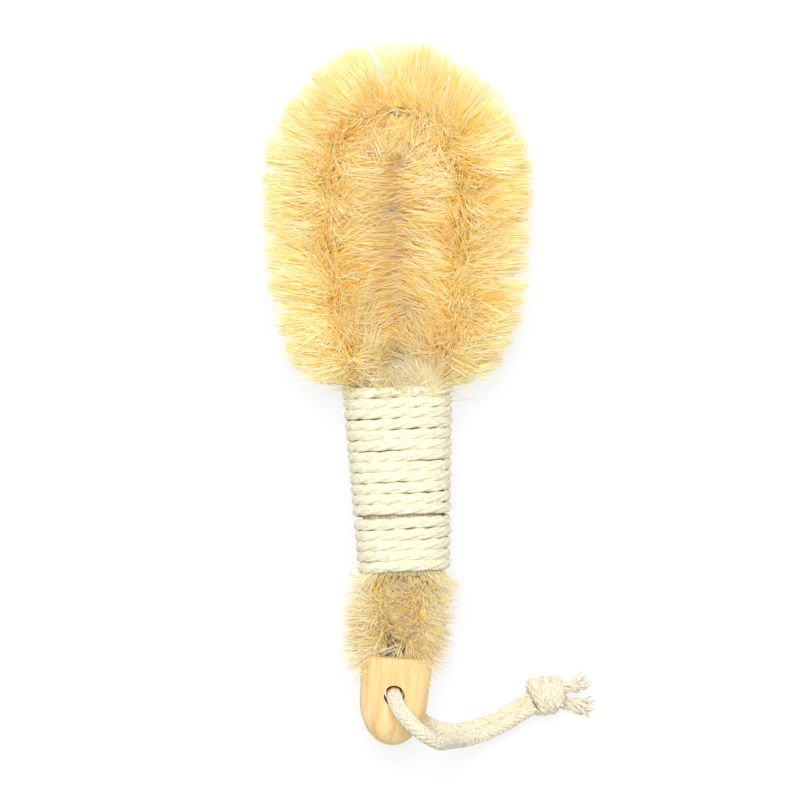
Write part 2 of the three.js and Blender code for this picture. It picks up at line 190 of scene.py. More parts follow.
class NodeBoard:
    """The node tree of a material or a world, with a short way to add each kind of node."""

    def __init__(self, owner: Owner) -> None:
        """Empties the node tree.

        Args:
            owner: The material or the world that has the tree.
        """
        owner.use_nodes = True
        self.owner = owner
        self.tree = owner.node_tree
        self.tree.nodes.clear()

    @classmethod
    def of_material(cls, name: str) -> "NodeBoard":
        """Starts a new material."""
        return cls(bpy.data.materials.new(name))

    def node(
        self,
        kind: str,
        settings: Optional[dict[str, Any]] = None,
        inputs: Optional[dict[Union[str, int], Any]] = None,
        output: Union[str, int] = 0,
    ) -> Shade:
        """Adds a node, with its settings first and its sockets after them.

        Args:
            kind: The node's type.
            settings: Properties of the node. The key stops takes the stops of a colour ramp.
            inputs: Values or shades for the sockets, by name or number.
            output: The socket that is wanted.

        Returns:
            The wanted output.
        """
        node = self.tree.nodes.new(kind)
        for name, value in (settings or {}).items():
            if name == "stops":
                self._set_stops(node.color_ramp, value)
            else:
                setattr(node, name, value)
        for name, value in (inputs or {}).items():
            if isinstance(value, Shade):
                self.tree.links.new(value.socket, node.inputs[name])
            else:
                node.inputs[name].default_value = value
        return Shade(self, node.outputs[output])

    @staticmethod
    def _set_stops(ramp: bpy.types.ColorRamp, stops: Sequence[tuple[float, Colour]]) -> None:
        """Gives a colour ramp its stops, from left to right."""
        for element, (position, colour) in zip(ramp.elements, (stops[0], stops[-1])):
            element.position = position
            element.color = colour
        for position, colour in stops[1:-1]:
            ramp.elements.new(position).color = colour

    def ramp(self, level: Shade, stops: Sequence[tuple[float, Colour]]) -> Shade:
        """Turns a level into a colour."""
        return self.node("ShaderNodeValToRGB", {"stops": stops}, {"Fac": level})

    def mix(self, factor: Level, first: Any, second: Any) -> Shade:
        """Mixes two colours, with as much of the second as the factor says."""
        settings = {"data_type": "RGBA", "blend_type": "MIX"}
        return self.node("ShaderNodeMix", settings, {0: factor, 6: first, 7: second}, 2)

    def noise(self, place: Shade, detail: float = 2.0, roughness: float = 0.5) -> Shade:
        """Adds a noise pattern, from 0 to 1, whose grains are about one unit of the place."""
        inputs = {"Vector": place, "Scale": 1.0, "Detail": detail, "Roughness": roughness}
        return self.node("ShaderNodeTexNoise", None, inputs, "Fac")

    def stretched(self, size: Place, turn: float) -> Shade:
        """The place on the object, in units of a given size in metres and turned about Z."""
        place = self.node("ShaderNodeTexCoord", None, None, "Object")
        inputs = {"Vector": place, "Scale": size, "Rotation": (0.0, 0.0, turn)}
        return self.node("ShaderNodeMapping", {"vector_type": "TEXTURE"}, inputs)

    def around_and_along(self) -> tuple[Shade, Shade]:
        """The two directions of the piece's own map: across or round a strand, and along it."""
        place = self.node("ShaderNodeUVMap", {"uv_map": BAKE_MAP})
        across = self.node("ShaderNodeSeparateXYZ", None, {0: place}, 0)
        along = self.node("ShaderNodeSeparateXYZ", None, {0: place}, 1)
        return across, along

    def point(self, x: Level, y: Level, z: Level = 0.0) -> Shade:
        """Puts three levels together as a place."""
        return self.node("ShaderNodeCombineXYZ", None, {0: x, 1: y, 2: z})

    def bump(self, height: Shade, distance: float, strength: float) -> Shade:
        """Turns a height into a relief on the surface."""
        inputs = {"Height": height, "Distance": distance, "Strength": strength}
        return self.node("ShaderNodeBump", None, inputs)

    def surface(self, **sockets: Any) -> bpy.types.Material:
        """Closes the material with a principled surface.

        Args:
            sockets: The surface's sockets, with an underscore for each space in a name.

        Returns:
            The finished material.
        """
        inputs = {name.replace("_", " "): value for name, value in sockets.items()}
        return self.close(self.node("ShaderNodeBsdfPrincipled", None, inputs))

    def close(self, shader: Shade) -> Owner:
        """Links a shader to the output of the tree."""
        world = isinstance(self.owner, bpy.types.World)
        output = self.tree.nodes.new("ShaderNodeOutputWorld" if world else "ShaderNodeOutputMaterial")
        self.tree.links.new(shader.socket, output.inputs["Surface"])
        return self.owner


# Finishes


@dataclass(frozen=True)
class FibreFinish:
    """Plant fibre, golden or duller straw, with its own colours at the root, the middle and the tip.

    The map's first direction picks the shade. Its first half holds golden fibres and its second half
    straw, each from pale to dark. The second direction runs from the root to the tip.
    """

    name: str = "plant_fibre_strands"
    roots: tuple[Colour, Colour, Colour, Colour] = (
        screen(255, 254, 216),
        screen(255, 229, 110),
        screen(249, 248, 222),
        screen(238, 214, 140),
    )
    middles: tuple[Colour, Colour, Colour, Colour] = (
        screen(255, 255, 230),
        screen(255, 230, 115),
        screen(249, 250, 236),
        screen(239, 218, 150),
    )
    tips: tuple[Colour, Colour, Colour, Colour] = (
        screen(254, 249, 218),
        screen(253, 226, 128),
        screen(246, 243, 226),
        screen(235, 214, 156),
    )
    halves: tuple[float, float, float, float] = (0.0, 0.495, 0.505, 1.0)
    root_fade: Span = (0.04, 0.5)
    tip_fade: Span = (0.55, 1.0)
    roughness: float = 0.7
    gloss: float = 0.1

    def material(self) -> bpy.types.Material:
        """Makes the material."""
        board = NodeBoard.of_material(self.name)
        shade, along = board.around_and_along()
        families = (self.roots, self.middles, self.tips)
        root, middle, tip = (board.ramp(shade, list(zip(self.halves, colours))) for colours in families)
        lower = board.mix(along.between(*self.root_fade), root, middle)
        colour = board.mix(along.between(*self.tip_fade), lower, tip)
        return board.surface(Base_Color=colour, Roughness=self.roughness, Specular_IOR_Level=self.gloss)


@dataclass(frozen=True)
class YarnFinish:
    """Spun yarn: fine streaks that slant along each strand, and darker flecks in patches."""

    name: str
    light: Colour
    dark: Colour
    fleck: Colour
    streaks_across: float
    streaks_slant: float
    streaks_along: float
    detail: float
    fineness: float
    body: Span
    patch_place: Place
    patches: Span
    fleck_share: float
    relief_depth: float
    relief: float
    roughness: float
    gloss: float
    dark_streaks: Optional[Span] = None

    def material(self) -> bpy.types.Material:
        """Makes the material."""
        board = NodeBoard.of_material(self.name)
        around, along = board.around_and_along()
        slanted = around * self.streaks_across + along * self.streaks_slant
        drift = board.point(slanted, along * self.streaks_along)
        streaks = board.noise(drift, self.detail, self.fineness)
        across, lengthwise, apart = self.patch_place
        patches = board.noise(board.point(around * across, along * lengthwise, apart))
        body = board.mix(streaks.between(*self.body), self.dark, self.light)
        flecks = patches.between(*self.patches)
        if self.dark_streaks:
            flecks = streaks.between(*self.dark_streaks) * flecks
        colour = board.mix(flecks * self.fleck_share, body, self.fleck)
        height = board.bump(streaks, self.relief_depth, self.relief)
        return board.surface(
            Base_Color=colour, Roughness=self.roughness, Specular_IOR_Level=self.gloss, Normal=height
        )

    @classmethod
    def twine(cls) -> "YarnFinish":
        """Cream twine, with flecks only where its streaks are dark."""
        return cls(
            name="cream_twine_plies",
            light=screen(243, 240, 218),
            dark=screen(225, 216, 183),
            fleck=screen(212, 193, 146),
            streaks_across=60.0,
            streaks_slant=16.0,
            streaks_along=9.0,
            detail=4.0,
            fineness=0.65,
            body=(0.38, 0.6),
            patch_place=(6.0, 5.0, 3.0),
            patches=(0.45, 0.6),
            fleck_share=0.7,
            relief_depth=0.0003,
            relief=0.5,
            roughness=0.78,
            gloss=0.2,
            dark_streaks=(0.36, 0.26),
        )

    @classmethod
    def cotton(cls) -> "YarnFinish":
        """Undyed cotton, with a few dark flecks of seed."""
        return cls(
            name="cotton_yarn",
            light=screen(240, 232, 212),
            dark=screen(219, 204, 173),
            fleck=screen(190, 162, 116),
            streaks_across=90.0,
            streaks_slant=30.0,
            streaks_along=10.0,
            detail=3.0,
            fineness=0.6,
            body=(0.32, 0.6),
            patch_place=(20.0, 24.0, 5.0),
            patches=(0.66, 0.74),
            fleck_share=0.5,
            relief_depth=0.0002,
            relief=0.4,
            roughness=0.85,
            gloss=0.15,
        )


@dataclass(frozen=True)
class WireFinish:
    """Dull galvanised wire, with a cloudy zinc coat and fine lengthwise scratches."""

    name: str = "zinc_coated_wire"
    light: Colour = screen(206, 208, 210)
    dark: Colour = screen(146, 148, 150)
    clouds_across: float = 6.0
    clouds_along: float = 14.0
    scratches_across: float = 90.0
    scratches_along: float = 3.0
    cloud_detail: float = 4.0
    cloudy: Span = (0.35, 0.65)
    metallic: float = 0.7
    roughness: float = 0.42
    cloud_roughness: float = 0.2
    relief_depth: float = 0.0001
    relief: float = 0.3

    def material(self) -> bpy.types.Material:
        """Makes the material."""
        board = NodeBoard.of_material(self.name)
        around, along = board.around_and_along()
        cloud_place = board.point(around * self.clouds_across, along * self.clouds_along)
        clouds = board.noise(cloud_place, self.cloud_detail)
        scratches = board.noise(board.point(around * self.scratches_across, along * self.scratches_along))
        colour = board.mix(clouds.between(*self.cloudy), self.dark, self.light)
        roughness = self.roughness + clouds * self.cloud_roughness
        height = board.bump(scratches, self.relief_depth, self.relief)
        return board.surface(Base_Color=colour, Metallic=self.metallic, Roughness=roughness, Normal=height)


@dataclass(frozen=True)
class WoodFinish:
    """Bare turned wood, with long pale grain and fine pores."""

    name: str = "turned_pale_wood"
    light: Colour = screen(248, 222, 166)
    middle: Colour = screen(243, 211, 150)
    dark: Colour = screen(231, 192, 128)
    tilt: float = math.radians(-4.3)
    wander_size: Place = (0.012, 0.05, 0.012)
    band_size: Place = (0.0026, 0.06, 0.0042)
    pore_size: Place = (0.0004, 0.007, 0.0004)
    band_detail: float = 3.0
    grain: Span = (0.32, 0.68)
    middle_stop: float = 0.55
    wander: Span = (0.4, 0.75)
    pores: Span = (0.6, 0.72)
    overlay: float = 0.35
    roughness: float = 0.46
    pore_roughness: float = 0.2
    gloss: float = 0.3
    relief_depth: float = 0.0001
    relief: float = 0.12

    def material(self) -> bpy.types.Material:
        """Makes the material."""
        board = NodeBoard.of_material(self.name)
        wander = board.noise(board.stretched(self.wander_size, self.tilt))
        bands = board.noise(board.stretched(self.band_size, self.tilt), self.band_detail)
        pores = board.noise(board.stretched(self.pore_size, self.tilt))
        stops = [(0.0, self.light), (self.middle_stop, self.middle), (1.0, self.dark)]
        body = board.ramp(bands.between(*self.grain), stops)
        toned = board.mix(wander.between(*self.wander) * self.overlay, body, self.middle)
        colour = board.mix(pores.between(*self.pores) * self.overlay, toned, self.dark)
        roughness = self.roughness + pores * self.pore_roughness
        height = board.bump(pores, self.relief_depth, self.relief)
        return board.surface(
            Base_Color=colour, Roughness=roughness, Specular_IOR_Level=self.gloss, Normal=height
        )


@dataclass(frozen=True)
class FillingFinish:
    """Fibres pressed flat under the binding, seen only between its turns."""

    name: str = "pressed_fibre_mat"
    light: Colour = screen(232, 222, 190)
    dark: Colour = screen(184, 171, 140)
    strand_size: Place = (0.0005, 0.008, 0.0005)
    slant: float = 0.12
    detail: float = 3.0
    strands: Span = (0.35, 0.65)
    relief_depth: float = 0.0006
    relief: float = 0.8
    roughness: float = 0.8
    gloss: float = 0.2

    def material(self) -> bpy.types.Material:
        """Makes the material."""
        board = NodeBoard.of_material(self.name)
        strands = board.noise(board.stretched(self.strand_size, self.slant), self.detail)
        colour = board.mix(strands.between(*self.strands), self.dark, self.light)
        height = board.bump(strands, self.relief_depth, self.relief)
        return board.surface(
            Base_Color=colour, Roughness=self.roughness, Specular_IOR_Level=self.gloss, Normal=height
        )


# Lines and strands


class Line:
    """A smooth open curve through chosen points, measured by its own length."""

    STEP = 0.3
    STEEP = 0.9

    def __init__(self, points: Sequence[Sequence[float]], steps: int = 80) -> None:
        """Samples the curve.

        Args:
            points: The points that it passes through, in millimetres.
            steps: The samples between two of them.
        """
        knots = np.asarray(points, dtype=float)
        padded = np.vstack([2 * knots[0] - knots[1], knots, 2 * knots[-1] - knots[-2]])
        parts = [self._stretch(padded[i : i + 4], steps) for i in range(len(knots) - 1)]
        self.table = np.vstack([*parts, knots[-1:]])
        gaps = np.linalg.norm(np.diff(self.table, axis=0), axis=1)
        self.way = np.concatenate([[0.0], np.cumsum(gaps)])
        self.length = float(self.way[-1])

    @staticmethod
    def _stretch(four: Array, steps: int) -> Array:
        """Samples the stretch between the middle two of four points."""
        before, first, last, after = four
        left, middle, right = np.linalg.norm(np.diff(four, axis=0), axis=1) ** 0.5
        leave = (first - before) / left - (last - before) / (left + middle) + (last - first) / middle
        arrive = (last - first) / middle - (after - first) / (middle + right) + (after - last) / right
        leave = leave * middle
        arrive = arrive * middle
        share = np.linspace(0, 1, steps, endpoint=False)[:, None]
        square = 3 * (last - first) - 2 * leave - arrive
        cube = 2 * (first - last) + leave + arrive
        return first + leave * share + square * share**2 + cube * share**3

    def at(self, way: Array) -> Array:
        """The points at given distances along the curve."""
        return np.stack([np.interp(way, self.way, self.table[:, axis]) for axis in range(3)], axis=-1)

    def heading(self, way: Array) -> Array:
        """The unit directions at given distances along the curve."""
        ahead = self.at(np.minimum(way + self.STEP, self.length))
        return unit(ahead - self.at(np.maximum(way - self.STEP, 0.0)))

    def frames(self, way: Array) -> tuple[Array, Array, Array]:
        """Points along the curve, with two directions across it that turn as little as they can.

        Args:
            way: The distances along the curve.

        Returns:
            The points, the first directions across and the second ones.
        """
        headings = self.heading(way)
        across = np.cross(headings[0], UP if abs(headings[0][2]) < self.STEEP else FORWARD)
        first = np.empty_like(headings)
        for i, heading in enumerate(headings):
            across = across - heading * np.dot(across, heading)
            across = across / np.linalg.norm(across)
            first[i] = across
        return self.at(way), first, np.cross(headings, first)


def unit(vectors: Array) -> Array:
    """Scales vectors to a length of one."""
    return vectors / np.linalg.norm(vectors, axis=-1, keepdims=True)


def smooth(low: float, high: float, value: Array) -> Array:
    """Rises smoothly from 0 at one value to 1 at another."""
    share = np.clip((value - low) / (high - low), 0.0, 1.0)
    return share * share * (3 - 2 * share)


def placed(name: str, data: bpy.types.ID) -> bpy.types.Object:
    """Puts data in the scene as an object."""
    item = bpy.data.objects.new(name, data)
    bpy.context.scene.collection.objects.link(item)
    return item


def mesh_of(name: str, shape: bmesh.types.BMesh) -> bpy.types.Mesh:
    """Turns a finished shape into a mesh."""
    mesh = bpy.data.meshes.new(name)
    shape.to_mesh(mesh)
    shape.free()
    return mesh


def taken_mesh(source: bpy.types.Object, helper: bpy.types.Object) -> bpy.types.Mesh:
    """Takes the mesh that an object shows, and removes the object and its helper.

    Args:
        source: The object, a curve or a mesh with modifiers.
        helper: The object that it is made with.

    Returns:
        The mesh.
    """
    graph = bpy.context.evaluated_depsgraph_get()
    mesh = bpy.data.meshes.new_from_object(source.evaluated_get(graph))
    for item in (source, helper):
        data = item.data
        store = bpy.data.curves if isinstance(data, bpy.types.Curve) else bpy.data.meshes
        bpy.data.objects.remove(item)
        store.remove(data)
    return mesh


def finish_piece(
    name: str, mesh: bpy.types.Mesh, material: bpy.types.Material, rounded: bool = True
) -> bpy.types.Object:
    """Puts a mesh in the scene as a piece with one material.

    Args:
        name: The name of the piece.
        mesh: Its mesh, in metres and in place.
        material: Its finish.
        rounded: Whether its faces are shaded as one round surface.

    Returns:
        The new object.
    """
    mesh.name = name
    if rounded:
        mesh.shade_smooth()
    else:
        mesh.shade_flat()
    mesh.materials.clear()
    mesh.materials.append(material)
    return placed(name, mesh)


def settle(piece: bpy.types.Object, body: Body, slot: Slot, *nodes: str) -> bpy.types.Object:
    """Makes a piece ride on its body, hides the frame's nodes that it stands for, and reports it.

    Args:
        piece: The piece.
        body: The body that it moves with.
        slot: The finish in the part's record; not used.
        nodes: The frame's nodes that it replaces.

    Returns:
        The same piece.
    """
    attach(piece, body.value)
    if nodes:
        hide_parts(*nodes)
    log.info("%s: %d faces, on %s", piece.name, len(piece.data.polygons), body.value)
    return piece


@dataclass
class Strands:
    """Round strands of one kind, made as a bevelled curve and turned into a mesh with its own map.

    The map has a column for each strand, which strands of one shade share. It runs along the strand, and
    starts again after each whole number.
    """

    FLAT_SIDES = 4

    points: Array
    radii: Array
    columns: Array
    width: float
    along: Array
    sides: int = 3

    def piece(self, name: str, material: bpy.types.Material) -> bpy.types.Object:
        """Makes the strands.

        Args:
            name: The name of the piece.
            material: Its finish.

        Returns:
            The new object.
        """
        section = self._section()
        curve = bpy.data.curves.new(name, "CURVE")
        curve.dimensions = "3D"
        curve.bevel_mode = "OBJECT"
        curve.bevel_object = section
        rings = self.points.shape[1]
        places = np.ones((*self.points.shape[:2], 4), dtype=np.float32)
        places[..., :3] = self.points * MM
        radii = (self.radii * MM).astype(np.float32)
        for place, radius in zip(places, radii):
            spline = curve.splines.new("POLY")
            spline.points.add(rings - 1)
            spline.points.foreach_set("co", place.ravel())
            spline.points.foreach_set("radius", radius)
        mesh = taken_mesh(placed(name + "_curve", curve), section)
        self._map(mesh)
        return finish_piece(name, mesh, material, self.sides > self.FLAT_SIDES)

    def _section(self) -> bpy.types.Object:
        """A regular outline that the curve is bevelled with."""
        curve = bpy.data.curves.new("strand_section", "CURVE")
        curve.dimensions = "2D"
        ring = curve.splines.new("POLY")
        ring.points.add(self.sides - 1)
        for i, point in enumerate(ring.points):
            angle = 2 * math.pi * i / self.sides
            point.co = (math.cos(angle), math.sin(angle), 0.0, 1.0)
        ring.use_cyclic_u = True
        return placed("strand_section", curve)

    def _map(self, mesh: bpy.types.Mesh) -> None:
        """Lays the strands out on the map that the finish reads."""
        count, rings = self.points.shape[:2]
        sides = self.sides
        along = np.broadcast_to(self.along, (count, rings))
        base = np.floor(along[:, :-1] + TINY)
        start = (along[:, :-1] - base)[:, :, None, None]
        stop = (along[:, 1:] - base)[:, :, None, None]
        side = np.arange(sides)
        near = np.where(side == 0, sides, side) / sides
        columns = self.columns[:, None, None, None]
        shape = (count, rings - 1, sides, 1)
        left = np.broadcast_to(columns + self.width * near[None, None, :, None], shape)
        right = np.broadcast_to(columns + self.width * (near - 1 / sides)[None, None, :, None], shape)
        low = np.broadcast_to(start, shape)
        high = np.broadcast_to(stop, shape)
        across = np.concatenate([left, left, right, right], axis=3)
        upward = np.concatenate([low, high, high, low], axis=3)
        layer = mesh.uv_layers[0]
        layer.name = BAKE_MAP
        corners = np.stack([across, upward], axis=-1).astype(np.float32).ravel()
        layer.data.foreach_set("uv", corners)


# The middle line of the two wires


@dataclass
class CoreLine:
    """The line that both wires are twisted round, from the left end over the crown to the right end."""

    height: float = 22.9
    half_spacing: float = 22.5
    crown_centre: float = 74.1
    grip_top: float = 2.2
    grip_end: float = -60.9
    cap_mouth: float = -89.6
    cap_tilt: float = math.radians(-4.3)
    grip_lean: float = 2.4
    grip_half_spacing: float = 10.762
    taper: float = 0.04913
    twist_pitch: float = 12.0
    leg_seat: float = 2.5
    seat_depth: float = 7.2
    notch: float = -1.8
    arch_step: int = 30
    shoulder_run: float = 0.2
    waist_run: float = 0.56
    waist_share: float = 0.93
    neck_run: float = 0.83
    neck_share: float = 0.46
    grip_inset: float = 2.0
    tail_share: float = 0.6
    line: Line = field(init=False)
    crown: float = field(init=False)
    divide: float = field(init=False)

    def __post_init__(self) -> None:
        """Builds the line and finds the middle of the crown on it."""
        angles = np.radians(np.arange(180, -1, -self.arch_step))
        arc = [
            (self.half_spacing * math.cos(angle), self.crown_centre + self.half_spacing * math.sin(angle))
            for angle in angles
        ]
        flat = [*reversed(self._leg(Side.LEFT)), *arc, *self._leg(Side.RIGHT)]
        self.line = Line([(x, y, self.height) for x, y in flat])
        self.crown = float(self.line.way[np.argmax(self.line.table[:, 1])])
        self.divide = self.crown + self.notch

    def lean_at(self, y: Array) -> Array:
        """How far the grip and the tail lie to the right of the head's middle, at a given Y."""
        down = (self.grip_top - y) / (self.grip_top - self.grip_end)
        back = (y - self.cap_mouth) / (self.grip_end - self.cap_mouth)
        return self.grip_lean * np.clip(np.where(np.asarray(y) > self.grip_end, down, back), 0.0, 1.0)

    def narrowed(self, half_width: float, y: float) -> float:
        """A half width at the top of the grip, as it is at a given Y."""
        return half_width - self.taper * (self.grip_top - y)

    def _leg(self, side: Side) -> list[tuple[float, float]]:
        """The points of one leg, from the crown down to the wire end in the cap."""
        middle = (self.grip_top + self.grip_end) / 2
        levels = (self.grip_top, middle, self.grip_end)
        top, half, end = (self.narrowed(self.grip_half_spacing, level) for level in levels)
        run = self.crown_centre - self.grip_top
        spacings = [
            (self.half_spacing, self.crown_centre - self.shoulder_run * run),
            (self.half_spacing * self.waist_share, self.crown_centre - self.waist_run * run),
            (top + self.neck_share * (self.half_spacing - top), self.crown_centre - self.neck_run * run),
            (top, self.grip_top - self.grip_inset),
            (half, middle),
            (end, self.grip_end),
            (end + self.tail_share * (self.leg_seat - end), (self.grip_end + self.cap_mouth) / 2),
            (self.leg_seat, self.cap_mouth),
        ]
        points = [(side.value * spacing + float(self.lean_at(y)), y) for spacing, y in spacings]
        seat = Vector((side.value * self.leg_seat, -self.seat_depth))
        seat.rotate(Matrix.Rotation(self.cap_tilt, 2))
        return [*points, (seat.x, self.cap_mouth + seat.y)]

    def axes(self, way: Array) -> tuple[Array, Array, Array]:
        """The points, headings and outward directions at given distances along the line."""
        heading = self.line.heading(way)
        return self.line.at(way), heading, unit(np.cross(UP, heading))

    def twist(self, way: Array) -> Array:
        """The angle that the wires have turned to, from outward towards up."""
        return 2 * np.pi * way / self.twist_pitch

    def way_at(self, y: float, side: Side) -> float:
        """The distance along the line at which one leg passes a given Y."""
        own = (self.line.way - self.crown) * side.value > 0
        gaps = np.where(own, np.abs(self.line.table[:, 1] - y), np.inf)
        return float(self.line.way[np.argmin(gaps)])


@dataclass
class WireCore:
    """The two galvanised wires, twisted round each other."""

    core: CoreLine
    finish: WireFinish
    wire_diameter: float = 2.0
    helix_radius: float = 1.4
    rings_per_turn: int = 20
    turns_per_map: int = 4
    map_margin: float = 0.02
    sides: int = 10

    def build(self) -> None:
        """Makes one piece for each wire."""
        material = self.finish.material()
        turns = self.core.line.length / self.core.twist_pitch
        rings = int(turns * self.rings_per_turn)
        way = np.linspace(0.0, self.core.line.length, rings)
        points, _, outward = self.core.axes(way)
        for letter, phase in (("a", 0.0), ("b", math.pi)):
            angle = self.core.twist(way) + phase
            offset = np.cos(angle)[:, None] * outward + np.sin(angle)[:, None] * UP
            wire = points + self.helix_radius * offset
            along = np.arange(rings) / (self.turns_per_map * self.rings_per_turn)
            radii = np.full((1, rings), self.wire_diameter / 2)
            column = np.array([self.map_margin])
            strands = Strands(wire[None], radii, column, 1 - 2 * self.map_margin, along, self.sides)
            piece = strands.piece(f"twisted_wire_{letter}", material)
            settle(piece, Body.BRUSH, Slot.WIRE, f"core_wire_{letter}")


# Bristles


@dataclass
class FibreBatch:
    """Fibres from root to tip, with a thickness and a shade for each."""

    SHARES = (0.0, 0.38, 0.7, 1.0)
    TAPER = (1.0, 1.0, 0.85, 0.35)
    SHADES = 48
    MARGIN = 0.1
    MAP_END = 0.999

    points: Array
    thickness: Array
    darkness: Array
    straw: Array

    def _parts(self) -> tuple[Array, Array, Array, Array]:
        """What is known of each fibre."""
        return self.points, self.thickness, self.darkness, self.straw

    @classmethod
    def joined(cls, batches: Sequence["FibreBatch"]) -> "FibreBatch":
        """Puts several batches together."""
        return cls(*(np.concatenate(same) for same in zip(*(batch._parts() for batch in batches))))

    @staticmethod
    def beyond_roots(points: Array) -> Array:
        """Points of each fibre past its root, with the points halfway between them."""
        return np.concatenate([points[:, 1:], (points[:, 1:] + points[:, :-1]) / 2], axis=1)

    def picked(self, chosen: Array) -> "FibreBatch":
        """The fibres that a mask picks out."""
        return FibreBatch(*(part[chosen] for part in self._parts()))

    def piece(self, name: str, material: bpy.types.Material) -> bpy.types.Object:
        """Makes the fibres as one piece.

        Args:
            name: The name of the piece.
            material: The fibres' finish.

        Returns:
            The new object.
        """
        shade = np.clip((self.darkness * self.SHADES).astype(int), 0, self.SHADES - 1)
        column = shade + self.SHADES * self.straw.astype(int)
        share = 1 / (2 * self.SHADES)
        radii = self.thickness[:, None] / 2 * np.array(self.TAPER)[None, :]
        along = np.minimum(self.SHARES, self.MAP_END)
        left = (column + self.MARGIN) * share
        return Strands(self.points, radii, left, (1 - 2 * self.MARGIN) * share, along).piece(name, material)


@dataclass
class Clumps:
    """The clump that each fibre belongs to: where its tips draw together, how it tilts and its own tone."""

    way: Array
    angle: Array
    tilt: Array
    tone: Array


